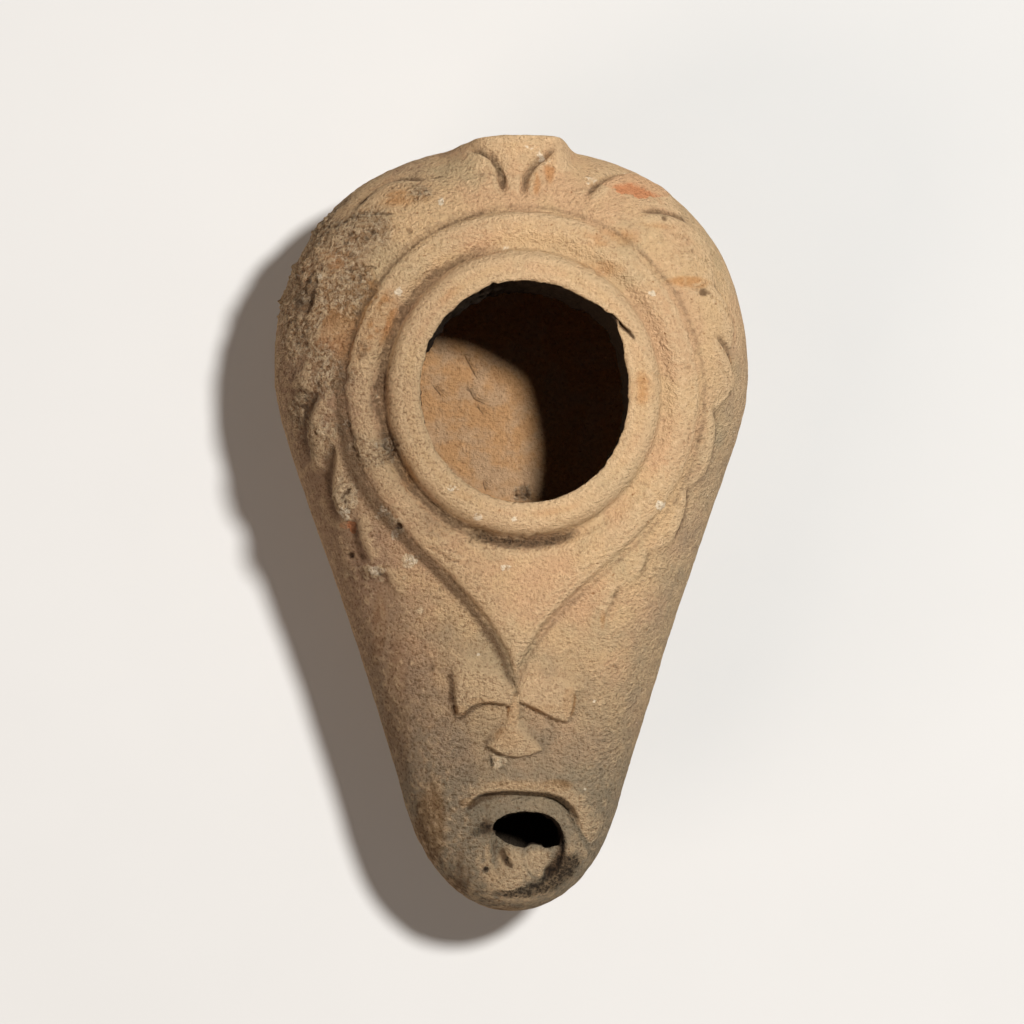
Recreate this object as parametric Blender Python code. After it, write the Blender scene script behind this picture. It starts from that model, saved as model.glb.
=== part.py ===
"""Pear-shaped, mould-made clay oil lamp, one hollow fired piece.

The lamp stands on a low base ring on z = 0. The handle is at +Y, the nozzle
at -Y. The upper and lower halves meet in a level seam, whose plan is the
lamp's outline. Both halves are domes that rise from the seam by a rounded
roll. The cavity repeats them one wall thickness inside. The carving is a
rise along the skin of the upper dome.
"""

import math

import bpy
import numpy as np
from mathutils import Vector
from mathutils.geometry import delaunay_2d_cdt

MM = 0.001

# Body: the shares run from the nozzle tip along the length
BODY_LENGTH = 99.0 * MM
BODY_WIDTH = 61.4 * MM
WIDEST_SHARE = 0.713
NECK_SHARE = 0.142
NECK_WIDTH_SHARE = 0.45
SEAM_HEIGHT = 16.5 * MM
WALL = 3.8 * MM
RESERVOIR_RISE = 14.6 * MM
NOZZLE_RISE = 7.4 * MM
NOZZLE_DEPTH = 6.5 * MM
TOP_ROLL_BACK = 12.0 * MM
TOP_ROLL_TIP = 5.5 * MM
BOTTOM_ROLL_BACK = 18.0 * MM
BOTTOM_ROLL_TIP = 8.0 * MM
BOTTOM_FULLNESS = 0.66
CAVITY_ROLL_LOSS = 0.4

# Base ring: a smaller copy of the outline, forward of the filling hole's centre
RING_SHARE = 0.42
RING_WIDTH = 2.4 * MM
RING_HEIGHT = 1.0 * MM
RING_SLOPE = 0.9 * MM
RING_FORWARD = 5.5 * MM

# Filling hole and its rim band
HOLE_WIDTH = 26.6 * MM
HOLE_LENGTH = 28.4 * MM
HOLE_FROM_BACK = 34.0 * MM
RIM_WIDTH = 4.1 * MM
RIM_RISE = 2.4 * MM
RIM_LIP_DROP = 0.7 * MM
RIM_CREST_SHARE = 0.42
RIM_LOOP_SHARES = (0.08, 0.22, 0.42, 0.65, 0.84, 0.95, 1.02)
GROOVE_WIDTH = 1.5 * MM
GROOVE_DEPTH = 0.7 * MM
HOLE_LEAN = 0.8 * MM

# Raised platform round the rim, drawn out to a point towards the nozzle
PLATFORM_WIDTH = 4.7 * MM
PLATFORM_RISE = 0.9 * MM
PLATFORM_EDGE = 0.9 * MM
PLATFORM_LIP = 0.3 * MM
PLATFORM_POINT_REACH = 21.4 * MM
PLATFORM_POINT_X = -0.7 * MM
PLATFORM_LEAVES_AT = math.radians(-34.0)

# Tongues carved on both shoulders
TONGUE_RISE = 0.9 * MM
TONGUE_SHOULDER = 1.5 * MM
TONGUE_SWELL = 0.4 * MM
CREASE_DEPTH = 0.5 * MM
CREASE_WIDTH = 0.5 * MM

# Flared cross below the point of the platform
CROSS_X = -0.6 * MM
CROSS_BELOW_POINT = 1.7 * MM
CROSS_ARM = 7.6 * MM
CROSS_STEM = 5.6 * MM
CROSS_FOOT = 2.9 * MM
CROSS_WAIST = 2.6 * MM
CROSS_FLARE = 6.0 * MM
CROSS_RISE = 0.9 * MM
CROSS_EDGE = 0.6 * MM
CROSS_TILT = math.radians(5.0)

# Wick hole, its sunk collar and the clay ramp in front of the opening
WICK_X = 1.0 * MM
WICK_FROM_TIP = 7.0 * MM
WICK_WIDTH = 9.8 * MM
WICK_LENGTH = 10.8 * MM
WICK_OPENING = 5.3 * MM
COLLAR_WIDTH = 3.4 * MM
COLLAR_DEPTH = 0.9 * MM
RAMP_DEPTH = 1.3 * MM

# Handle lug with two grooves
LUG_LENGTH = 9.0 * MM
LUG_WIDTH = 13.0 * MM
LUG_TOP = 12.2 * MM
LUG_RISE = 0.8 * MM
LUG_SIDE = 2.4 * MM
LUG_BACK = 0.5 * MM
LUG_GROOVE_WIDTH = 0.8 * MM
LUG_GROOVE_DEPTH = 1.1 * MM

# Places that follow from the sizes
TIP_Y = -BODY_LENGTH / 2
BACK_Y = BODY_LENGTH / 2
HOLE_CENTRE_Y = BACK_Y - HOLE_FROM_BACK
HOLE_FRONT_Y = HOLE_CENTRE_Y - HOLE_LENGTH / 2
RING_CENTRE_Y = HOLE_CENTRE_Y - RING_FORWARD
PLATFORM_POINT_Y = HOLE_FRONT_Y - PLATFORM_POINT_REACH
CROSS_Y = PLATFORM_POINT_Y - CROSS_BELOW_POINT
WICK_Y = TIP_Y + WICK_FROM_TIP

# Mesh
CARVED_SPACING = 0.75 * MM
PLAIN_SPACING = 2.6 * MM
ROLL_STEPS = 6
ROLL_END = math.radians(40.0)
CAVITY_ROLL_STEPS = 3
CAVITY_ROLL_END = math.radians(32.0)
KEPT_SHARE = 0.40

CLAY_COLOUR = (0.58, 0.40, 0.25, 1.0)
CLAY_ROUGHNESS = 0.92


# Plan curves

def bezier(start, pull_start, pull_end, end, count=48):
    t = np.linspace(0.0, 1.0, count, endpoint=False)[:, None]
    s = 1.0 - t
    return s**3 * start + 3 * s * s * t * pull_start + 3 * s * t * t * pull_end + t**3 * end


def resample(loop, count):
    """The closed loop again, with points at even steps along it."""
    closed = np.vstack([loop, loop[:1]])
    steps = np.linalg.norm(np.diff(closed, axis=0), axis=1)
    along = np.concatenate([[0.0], np.cumsum(steps)])
    wanted = np.linspace(0.0, along[-1], count, endpoint=False)
    return np.column_stack([np.interp(wanted, along, closed[:, k]) for k in (0, 1)])


def perimeter(loop):
    return np.linalg.norm(loop - np.roll(loop, 1, axis=0), axis=1).sum()


def outward(loop):
    """Unit vectors in plan that point out of a loop that runs anticlockwise."""
    tangent = np.roll(loop, -1, axis=0) - np.roll(loop, 1, axis=0)
    normal = np.column_stack([tangent[:, 1], -tangent[:, 0]])
    return normal / np.linalg.norm(normal, axis=1)[:, None]


def ellipse(half_width, half_length, x, y, count):
    turn = np.linspace(0.0, 2 * math.pi, count, endpoint=False)
    return np.column_stack([x + half_width * np.cos(turn), y + half_length * np.sin(turn)])


def body_outline(count=400):
    """The seam's plan: a wide round back that draws in to a blunt nozzle."""
    half = BODY_WIDTH / 2
    neck = NECK_WIDTH_SHARE * half
    neck_y = TIP_Y + NECK_SHARE * BODY_LENGTH
    widest_y = TIP_Y + WIDEST_SHARE * BODY_LENGTH
    flank_y = TIP_Y + 0.478 * BODY_LENGTH
    runs = (
        ((0.0, TIP_Y), (0.25 * half, TIP_Y), (0.39 * half, TIP_Y + 0.55 * (neck_y - TIP_Y)), (neck, neck_y)),
        ((neck, neck_y), (0.75 * half, flank_y), (half, widest_y - 0.116 * BODY_LENGTH), (half, widest_y)),
        ((half, widest_y), (half, widest_y + 0.155 * BODY_LENGTH), (0.67 * half, BACK_Y), (0.0, BACK_Y)),
    )
    right = np.vstack([bezier(*np.array(run)) for run in runs])
    left = right[:0:-1] * (-1.0, 1.0)
    return resample(np.vstack([right, [(0.0, BACK_Y)], left]), count)


OUTLINE = body_outline()
HOLE_CENTRE = np.array([0.0, HOLE_CENTRE_Y])


def inside(points, loop):
    """Even-odd test of points against a closed loop."""
    found = np.zeros(len(points), bool)
    x, y = points[:, 0], points[:, 1]
    for (ax, ay), (bx, by) in zip(loop, np.roll(loop, -1, axis=0)):
        if ay == by:
            continue
        crosses = (ay > y) != (by > y)
        found ^= crosses & (x < (bx - ax) * (y - ay) / (by - ay) + ax)
    return found


def path_distance(points, path):
    """Distance to an open path, the share of the path at the nearest place, and the side of it."""
    best = np.full(len(points), np.inf)
    share = np.zeros(len(points))
    side = np.zeros(len(points))
    runs = np.linalg.norm(np.diff(path, axis=0), axis=1)
    gone = np.concatenate([[0.0], np.cumsum(runs)])
    for start, end, run, before in zip(path[:-1], path[1:], runs, gone):
        along = (end - start) / run
        to = points - start
        t = np.clip(to @ along, 0.0, run)
        off = to - t[:, None] * along
        distance = np.hypot(off[:, 0], off[:, 1])
        nearer = distance < best
        best[nearer] = distance[nearer]
        share[nearer] = ((before + t) / gone[-1])[nearer]
        side[nearer] = np.sign(along[0] * to[:, 1] - along[1] * to[:, 0])[nearer]
    return best, share, side


def loop_distance(points, loop):
    """Distance to a closed loop, positive inside it."""
    distance, _, _ = path_distance(points, np.vstack([loop, loop[:1]]))
    return np.where(inside(points, loop), distance, -distance)


def smooth(t):
    t = np.clip(t, 0.0, 1.0)
    return t * t * (3.0 - 2.0 * t)


# The two domes

def towards_tip(y):
    """0 over the reservoir, 1 at the nozzle tip."""
    return smooth((HOLE_FRONT_Y - y) / (HOLE_FRONT_Y - TIP_Y))


def top_roll(y):
    return TOP_ROLL_BACK + (TOP_ROLL_TIP - TOP_ROLL_BACK) * towards_tip(y)


def bottom_roll(y):
    return BOTTOM_ROLL_BACK + (BOTTOM_ROLL_TIP - BOTTOM_ROLL_BACK) * towards_tip(y)


def top_height(points, depth_in, wall=0.0):
    """Height of the upper dome, at a distance in from the seam."""
    y = points[:, 1]
    rise = RESERVOIR_RISE + (NOZZLE_RISE - RESERVOIR_RISE) * towards_tip(y)
    t = np.clip(depth_in / (top_roll(y) - CAVITY_ROLL_LOSS * wall), 0.0, 1.0)
    return SEAM_HEIGHT + (rise - wall) * np.sqrt(1.0 - (1.0 - t) ** 2)


def bottom_height(points, depth_in, wall=0.0):
    """Height of the lower dome, which hangs from the seam."""
    y = points[:, 1]
    full = SEAM_HEIGHT - RING_HEIGHT
    depth = full + (NOZZLE_DEPTH - full) * towards_tip(y)
    t = np.clip(depth_in / (bottom_roll(y) - CAVITY_ROLL_LOSS * wall), 0.0, 1.0)
    return SEAM_HEIGHT - (depth - wall) * (1.0 - (1.0 - t) ** 2) ** BOTTOM_FULLNESS


# Carving: each function gives a rise along the skin, in metres

def hole_loop(grow, count):
    return ellipse(HOLE_WIDTH / 2 + grow, HOLE_LENGTH / 2 + grow, 0.0, HOLE_CENTRE_Y, count)


def rim_band(points):
    """A round band round the filling hole, and the groove at its foot."""
    out = np.maximum(-loop_distance(points, hole_loop(0.0, 160)), 0.0)
    share = out / RIM_WIDTH
    before_crest = np.clip(1.0 - share / RIM_CREST_SHARE, 0.0, 1.0)
    after_crest = np.clip((share - RIM_CREST_SHARE) / (1.0 - RIM_CREST_SHARE), 0.0, 1.0)
    band = RIM_RISE * np.sqrt(1.0 - after_crest**2) - RIM_LIP_DROP * before_crest**2
    groove = np.exp(-(((out - RIM_WIDTH - 0.3 * GROOVE_WIDTH) / (0.5 * GROOVE_WIDTH)) ** 2))
    return band - GROOVE_DEPTH * groove


def platform_loop():
    """The keyhole-shaped edge of the platform: an oval drawn out to a point."""
    grow = RIM_WIDTH + PLATFORM_WIDTH
    half_width = HOLE_WIDTH / 2 + grow
    half_length = HOLE_LENGTH / 2 + 1.02 * grow
    leave = PLATFORM_LEAVES_AT
    turn = np.linspace(leave, math.pi - leave, 120)
    oval = np.column_stack([half_width * np.cos(turn), HOLE_CENTRE_Y + half_length * np.sin(turn)])
    point = np.array([PLATFORM_POINT_X, PLATFORM_POINT_Y])
    drop = oval[0][1] - PLATFORM_POINT_Y
    flow = np.array([-half_width * math.sin(leave), half_length * math.cos(leave)])
    flow *= -0.45 * drop / np.linalg.norm(flow)
    ease = np.array([0.15 * half_width, 0.42 * drop])
    mirror = np.array([-1.0, 1.0])
    left = bezier(oval[-1], oval[-1] + flow * mirror, point + ease * mirror, point, 24)
    right = bezier(point, point + ease, oval[0] + flow, oval[0], 24)
    return np.vstack([oval[:-1], left, right])


PLATFORM = platform_loop()


def platform(points):
    """The platform's step, with a soft lip along its edge."""
    into = loop_distance(points, PLATFORM)
    step = PLATFORM_RISE * smooth(0.5 + into / PLATFORM_EDGE)
    lip = PLATFORM_LIP * np.exp(-(((into - 1.3 * PLATFORM_EDGE) / PLATFORM_EDGE) ** 2))
    crease = PLATFORM_LIP * np.exp(-(((into + 0.6 * PLATFORM_EDGE) / (0.5 * PLATFORM_EDGE)) ** 2))
    return step + lip - crease


def ray_reach(loop, angles):
    """How far a loop lies from the filling hole's centre, along rays at these angles."""
    arm = loop - HOLE_CENTRE
    angle = np.arctan2(arm[:, 1], arm[:, 0])
    order = np.argsort(angle)
    return np.interp(angles, angle[order], np.hypot(arm[:, 0], arm[:, 1])[order], period=2 * math.pi)


def shoulder_point(side, angle, share):
    """A place on the shoulder: an angle down from the handle, and a share of the way
    from the platform's edge to the seam."""
    turn = math.radians(90.0 - side * angle)
    inner = ray_reach(PLATFORM, turn)
    outer = ray_reach(OUTLINE, turn)
    reach = inner + share * (outer - inner)
    return HOLE_CENTRE + reach * np.array([math.cos(turn), math.sin(turn)])


# Each tongue's outer edge: angle and share at its start, bend and end, and its strength
RIGHT_TONGUES = (
    (19, 0.19, 25, 0.72, 45, 0.80, 1.0),
    (34, 0.38, 43, 0.65, 55, 0.64, 0.9),
    (56, 0.33, 64, 0.62, 77, 0.68, 0.9),
    (73, 0.39, 82, 0.62, 92, 0.61, 1.0),
    (92, 0.30, 103, 0.54, 115, 0.50, 1.0),
    (118, 0.07, 125, 0.44, 136, 0.47, 0.9),
    (139, 0.23, 143, 0.32, 148, 0.39, 0.4),
    (151, 0.20, 156, 0.27, 161, 0.33, 0.2),
)
LEFT_TONGUES = (
    (19, 0.39, 28, 0.72, 39, 0.79, 0.8),
    (34, 0.45, 45, 0.66, 57, 0.82, 0.8),
    (61, 0.74, 66, 0.69, 70, 0.75, 0.6),
    (76, 0.50, 83, 0.76, 90, 0.93, 0.9),
    (88, 0.38, 98, 0.78, 109, 0.95, 1.1),
    (104, 0.24, 115, 0.84, 126, 0.65, 1.4),
    (123, 0.25, 130, 0.48, 138, 0.58, 0.9),
    (142, 0.46, 146, 0.52, 149, 0.49, 0.4),
)


def tongue_curve(row):
    """A tongue's outer edge as angles and shares: a curve through its start, bend and end."""
    start, bend, end = (np.array(row[k:k + 2], float) for k in (0, 2, 4))
    t = np.linspace(0.0, 1.0, 14)[:, None]
    pull = 2 * bend - 0.5 * (start + end)
    return (1 - t) ** 2 * start + 2 * t * (1 - t) * pull + t * t * end


def tongue_path(side, row):
    return np.array([shoulder_point(side, angle, share) for angle, share in tongue_curve(row)])


def tongue_reach(rows):
    """For each degree down from the handle, the share that the tongues reach and their strength."""
    angles = np.arange(181.0)
    reach = np.zeros(len(angles))
    strength = np.zeros(len(angles))
    for row in rows:
        curve = tongue_curve(row)
        order = np.argsort(curve[:, 0])
        covered = (angles >= curve[:, 0].min()) & (angles <= curve[:, 0].max())
        share = np.interp(angles, curve[order, 0], curve[order, 1])
        reach = np.where(covered, np.maximum(reach, share), reach)
        strength = np.where(covered, np.maximum(strength, row[6]), strength)
    known = reach > 0
    reach = np.interp(angles, angles[known], reach[known])
    strength = np.interp(angles, angles[known], strength[known], left=0.0, right=0.0)
    soften = np.hanning(9) / np.hanning(9).sum()
    return angles, np.convolve(reach, soften, "same"), np.convolve(strength, soften, "same")


def tongues(points):
    """Overlapping tongues in a raised band with a scalloped edge, parted by creases."""
    arm = points - HOLE_CENTRE
    turn = np.arctan2(arm[:, 1], arm[:, 0])
    inner, outer = ray_reach(PLATFORM, turn), ray_reach(OUTLINE, turn)
    beyond = np.hypot(arm[:, 0], arm[:, 1]) - inner
    angle = 90.0 - np.degrees(turn)
    angle = np.where(angle > 180.0, angle - 360.0, angle)
    rise = np.zeros(len(points))
    for side, rows in ((1, RIGHT_TONGUES), (-1, LEFT_TONGUES)):
        here = side * angle > 0
        angles, reach, strength = tongue_reach(rows)
        edge = np.interp(side * angle[here], angles, reach) * (outer - inner)[here]
        band = smooth(0.3 + (edge - beyond[here]) / TONGUE_SHOULDER)
        rise[here] += TONGUE_RISE * np.interp(side * angle[here], angles, strength) * band
        for row in rows:
            path = tongue_path(side, row)
            distance, share, turned = path_distance(points, path)
            into = -side * turned * distance
            ends = row[6] * smooth(share / 0.25) * smooth((1.0 - share) / 0.25)
            swell = TONGUE_SWELL * np.exp(-((into / TONGUE_SHOULDER - 0.8) ** 2))
            crease = CREASE_DEPTH * np.exp(-((into / CREASE_WIDTH + 0.2) ** 2))
            rise += ends * (swell - crease)
    return rise


def cross_loop(grow=0.0):
    """A cross whose side arms widen outwards, on a narrow stem with a wide foot.
    The upper arm runs into the platform's point."""
    waist, flare, foot = CROSS_WAIST / 2 + grow, CROSS_FLARE / 2 + grow, CROSS_STEM + CROSS_FOOT + grow
    arm, upper = CROSS_ARM + grow, abs(PLATFORM_POINT_Y - CROSS_Y)
    corners = np.array([
        (waist, -waist), (arm, -flare), (arm, flare), (waist, waist), (waist, upper),
        (-waist, upper), (-waist, waist), (-arm, 1.1 * flare), (-arm, -flare), (-waist, -waist),
        (-0.8 * waist, -CROSS_STEM), (-1.1 * flare, -foot), (1.1 * flare, -foot),
        (0.8 * waist, -CROSS_STEM),
    ])
    cos, sin = math.cos(CROSS_TILT), math.sin(CROSS_TILT)
    return corners @ np.array([[cos, -sin], [sin, cos]]) + (CROSS_X, CROSS_Y)


def cross(points):
    into = loop_distance(points, cross_loop())
    return CROSS_RISE * smooth(0.5 + into / CROSS_EDGE)


def collar_loop(count=60):
    """A flat-backed arch round the wick hole, where the nozzle's top steps down."""
    turn = np.linspace(0.0, 2 * math.pi, count, endpoint=False)
    half_width = WICK_WIDTH / 2 + COLLAR_WIDTH
    half_length = WICK_LENGTH / 2 + 0.6 * COLLAR_WIDTH
    x = np.sign(np.cos(turn)) * np.abs(np.cos(turn)) ** 0.7
    y = np.sign(np.sin(turn)) * np.abs(np.sin(turn)) ** 0.7
    return np.column_stack([WICK_X + half_width * x, WICK_Y + half_length * y])


def wick_rise(points):
    """The sunk collar round the wick hole, and the ramp that slopes into the opening."""
    sunk = smooth(0.5 + loop_distance(points, collar_loop()) / CROSS_EDGE)
    behind = smooth((points[:, 1] - WICK_Y + 0.35 * WICK_LENGTH) / (0.5 * WICK_LENGTH))
    hole = ellipse(WICK_WIDTH / 2, WICK_LENGTH / 2, WICK_X, WICK_Y, 60)
    ramp = smooth(loop_distance(points, hole) / RAMP_DEPTH) * (0.35 + 0.65 * behind)
    return -COLLAR_DEPTH * sunk * behind - RAMP_DEPTH * ramp


def lug_share(points):
    """1 on the lug, 0 off it: a wedge that widens towards the back."""
    share = (points[:, 1] - BACK_Y + LUG_LENGTH) / LUG_LENGTH
    half = LUG_WIDTH / 2 * (0.4 + 0.6 * np.clip(share, 0.0, 1.0))
    return smooth((half - np.abs(points[:, 0])) / LUG_SIDE) * smooth(share / 0.5)


def lug_lift(points, height):
    """How far the lug's nearly level top stands above the falling shoulder."""
    stand = np.maximum(SEAM_HEIGHT + LUG_TOP - height, 0.0)
    return lug_share(points) * (LUG_RISE + stand) * smooth(depth_in(points) / LUG_BACK)


def lug_grooves(points):
    """Two grooves that draw together towards the filling hole."""
    grooves = np.zeros(len(points))
    for side in (-1.0, 1.0):
        x = side * 0.37 * LUG_WIDTH
        path = np.array([
            (x, BACK_Y - 0.1 * LUG_LENGTH), (0.55 * x, BACK_Y - 0.35 * LUG_LENGTH),
            (0.36 * x, BACK_Y - 0.6 * LUG_LENGTH), (0.3 * x, BACK_Y - LUG_LENGTH),
        ])
        distance, share, _ = path_distance(points, path)
        cut = np.exp(-((distance / LUG_GROOVE_WIDTH) ** 2)) * smooth((1.0 - share) / 0.3)
        grooves = np.maximum(grooves, cut)
    return -LUG_GROOVE_DEPTH * grooves


def carving(points):
    off_platform = 1.0 - smooth(0.5 + loop_distance(points, PLATFORM) / PLATFORM_EDGE)
    raised = np.maximum(platform(points), cross(points))
    carved = rim_band(points) + raised + off_platform * tongues(points)
    return carved + wick_rise(points) + lug_grooves(points)


# Mesh

class Shell:
    """Points and outward triangles of the lamp's closed skin."""

    def __init__(self):
        self.points = []
        self.faces = []

    def loop(self, plan, height):
        first = len(self.points)
        self.points.extend(np.column_stack([plan, np.broadcast_to(height, len(plan))]).tolist())
        return np.arange(first, len(self.points))

    def strip(self, outer, inner):
        """Faces between two loops. They look up where the second loop is the inner one."""
        after_outer, after_inner = np.roll(outer, -1), np.roll(inner, -1)
        self.faces.extend(np.column_stack([outer, after_outer, after_inner]).tolist())
        self.faces.extend(np.column_stack([outer, after_inner, inner]).tolist())

    def fill(self, border, holes, marks, spacing, height, upward):
        """Faces between a border loop and its hole loops. Their edges follow the marks, which
        are lines in plan, and points at a spacing fill the rest."""
        points = np.array(self.points)
        plans = [points[loop][:, :2] for loop in (border, *holes)]
        added = lattice(plans[0], spacing)
        for hole in plans[1:]:
            added = added[~inside(added, hole)]
        for line in [*closed(plans), *marks]:
            added = added[path_distance(added, line)[0] > 0.55 * spacing]
        plan = np.vstack([*plans, *marks, added])
        edges = []
        first = 0
        for loop in plans:
            count = len(loop)
            edges += [(first + k, first + (k + 1) % count) for k in range(count)]
            first += count
        for line in marks:
            edges += [(first + k, first + k + 1) for k in range(len(line) - 1)]
            first += len(line)
        places, _, faces, source, _, _ = delaunay_2d_cdt([Vector(p) for p in plan], edges, [], 0, 1e-9)
        places = np.array([tuple(place) for place in places])
        known = np.concatenate([border, *holes])
        order = np.full(len(places), -1)
        for k, origins in enumerate(source):
            kept = [origin for origin in origins if origin < len(known)]
            if kept:
                order[k] = known[kept[0]]
        new = order < 0
        order[new] = self.loop(places[new], height(places[new]))
        faces = np.array(faces)
        centres = places[faces].mean(axis=1)
        within = inside(centres, plans[0])
        for hole in plans[1:]:
            within &= ~inside(centres, hole)
        faces = faces[within]
        a, b, c = (places[faces[:, k]] for k in range(3))
        turned = (b[:, 0] - a[:, 0]) * (c[:, 1] - a[:, 1]) - (b[:, 1] - a[:, 1]) * (c[:, 0] - a[:, 0])
        wrong = (turned > 0) != upward
        faces[wrong] = faces[wrong][:, ::-1]
        self.faces.extend(order[faces].tolist())

    def carve(self, first):
        """Moves the points from the first on along the skin's own normals, by the carving."""
        points = np.array(self.points)
        plan = points[first:, :2]
        moved = points[first:] + self.normals()[first:] * carving(plan)[:, None]
        moved[:, 2] += lug_lift(plan, points[first:, 2])
        self.points[first:] = moved.tolist()

    def normals(self):
        points = np.array(self.points)
        faces = np.array(self.faces)
        a, b, c = (points[faces[:, k]] for k in range(3))
        face_normals = np.cross(b - a, c - a)
        total = np.zeros_like(points)
        for k in range(3):
            np.add.at(total, faces[:, k], face_normals)
        return total / np.maximum(np.linalg.norm(total, axis=1), 1e-12)[:, None]


def closed(loops):
    return [np.vstack([loop, loop[:1]]) for loop in loops]


def spaced(line, spacing):
    """An open line again, with points at about this spacing."""
    along = np.concatenate([[0.0], np.cumsum(np.linalg.norm(np.diff(line, axis=0), axis=1))])
    wanted = np.linspace(0.0, along[-1], max(2, round(along[-1] / spacing) + 1))
    return np.column_stack([np.interp(wanted, along, line[:, k]) for k in (0, 1)])


def marks_within(lines, border, holes, spacing):
    """The stretches of these lines that keep clear of a border and its holes."""
    marks = []
    for line in lines:
        line = spaced(line, spacing)
        clear = loop_distance(line, border) > 0.6 * spacing
        for hole in holes:
            clear &= loop_distance(line, hole) < -0.6 * spacing
        ends = np.flatnonzero(np.diff(np.concatenate([[False], clear, [False]]).astype(int)))
        marks += [line[a:b] for a, b in zip(ends[::2], ends[1::2]) if b - a > 1]
    return marks


def lattice(loop, spacing):
    """Points in rows of triangles inside a loop."""
    low, high = loop.min(axis=0), loop.max(axis=0)
    row_gap = spacing * math.sqrt(3.0) / 2
    rows = []
    for k, y in enumerate(np.arange(low[1], high[1], row_gap)):
        x = np.arange(low[0] + (k % 2) * spacing / 2, high[0], spacing)
        rows.append(np.column_stack([x, np.full(len(x), y)]))
    points = np.vstack(rows)
    return points[inside(points, loop)]


def depth_in(points):
    return np.abs(loop_distance(points, OUTLINE))


def roll(shell, seam, plan, normal, width, height, flip, steps=ROLL_STEPS, end=ROLL_END):
    """Loops that climb from the seam round the roll of a dome. The last one borders the fill."""
    before = seam
    for step in range(1, steps + 1):
        turn = end * step / steps
        depth = width(plan[:, 1]) * (1.0 - math.cos(turn))
        inner = plan - normal * depth[:, None]
        loop = shell.loop(inner, height(inner, depth))
        shell.strip(*((loop, before) if flip else (before, loop)))
        before = loop
    return before


def wick_opening(count):
    """A round-backed opening with an uneven front edge, where the ramp ends."""
    half_width = WICK_WIDTH / 2
    back = WICK_Y + WICK_LENGTH / 2
    turn = np.linspace(math.radians(4.0), math.pi - math.radians(4.0), 30)
    corner = 0.55 * WICK_OPENING
    arc = np.column_stack([half_width * np.cos(turn), back - corner * (1.0 - np.sin(turn) ** 0.6)])
    x = np.linspace(-1.0, 1.0, 14)[1:-1]
    reach = (1.0 - x**4) * (0.9 + 0.08 * x - 0.04 * np.cos(9.0 * x - 2.4))
    front = back - corner - (WICK_OPENING - corner) * reach
    loop = np.vstack([arc, np.column_stack([x * half_width, front])])
    return resample(loop, count) + (WICK_X, 0.0)


def outer_top(points):
    return top_height(points, depth_in(points))


def outer_bottom(points):
    return bottom_height(points, depth_in(points))


def cavity_ceiling(points):
    return top_height(points, depth_in(points) - WALL, WALL)


def cavity_floor(points):
    return bottom_height(points, depth_in(points) - WALL, WALL)


def upper_skin(shell, seam, plan, normal):
    """The carved upper half, with loops round the rim band. Gives the two holes' edge loops."""
    first = len(shell.points)
    border = roll(shell, seam, plan, normal, top_roll, top_height, False)
    filling_plan = hole_loop(0.0, round(math.pi * HOLE_WIDTH / CARVED_SPACING))
    filling = shell.loop(filling_plan, outer_top(filling_plan))
    foot = filling
    for share in RIM_LOOP_SHARES:
        band_plan = hole_loop(share * RIM_WIDTH, len(filling_plan))
        band = shell.loop(band_plan, outer_top(band_plan))
        shell.strip(band, foot)
        foot = band
    wick_plan = wick_opening(round(2.6 * WICK_WIDTH / CARVED_SPACING))
    wick = shell.loop(wick_plan, outer_top(wick_plan))
    edge = 0.5 * PLATFORM_EDGE * outward(PLATFORM)
    lines = closed([PLATFORM + edge, PLATFORM - edge, *(cross_loop(g * CROSS_EDGE) for g in (-0.4, 0.4))])
    for side, rows in ((1, RIGHT_TONGUES), (-1, LEFT_TONGUES)):
        lines += [tongue_path(side, row) for row in rows]
    border_plan = np.array(shell.points)[border][:, :2]
    marks = marks_within(lines, border_plan, [band_plan, wick_plan], CARVED_SPACING)
    shell.fill(border, [foot, wick], marks, CARVED_SPACING, outer_top, True)
    shell.carve(first)
    return filling, wick


def lower_skin(shell, seam, plan, normal):
    """The plain lower half, with a level base ring under the reservoir."""
    border = roll(shell, seam, plan, normal, bottom_roll, bottom_height, True)
    ring_plan = resample(OUTLINE, round(RING_SHARE * len(plan))) * RING_SHARE + (0.0, RING_CENTRE_Y)
    ring_normal = outward(ring_plan)
    marks = []
    for offset in (-RING_WIDTH / 2 - RING_SLOPE, -RING_WIDTH / 2, RING_WIDTH / 2, RING_WIDTH / 2 + RING_SLOPE):
        marks += closed([ring_plan + ring_normal * offset])

    def height(points):
        level = np.abs(loop_distance(points, ring_plan)) < RING_WIDTH / 2 + 0.3 * RING_SLOPE
        return np.where(level, 0.0, outer_bottom(points))

    shell.fill(border, [], marks, PLAIN_SPACING, height, False)


def cavity(shell, filling_low, wick_low):
    """The hollow, one wall inside the skin."""
    outer = resample(OUTLINE, round(perimeter(OUTLINE) / PLAIN_SPACING))
    normal = outward(outer)
    plan = outer - normal * WALL
    seam = shell.loop(plan, SEAM_HEIGHT)
    border = roll(shell, seam, plan, normal, lambda y: top_roll(y) - CAVITY_ROLL_LOSS * WALL,
                  lambda p, d: top_height(p, d, WALL), True, CAVITY_ROLL_STEPS, CAVITY_ROLL_END)
    shell.fill(border, [filling_low, wick_low], [], PLAIN_SPACING, cavity_ceiling, False)
    border = roll(shell, seam, plan, normal, lambda y: bottom_roll(y) - CAVITY_ROLL_LOSS * WALL,
                  lambda p, d: bottom_height(p, d, WALL), False, CAVITY_ROLL_STEPS, CAVITY_ROLL_END)
    shell.fill(border, [], [], PLAIN_SPACING, cavity_floor, True)


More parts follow.
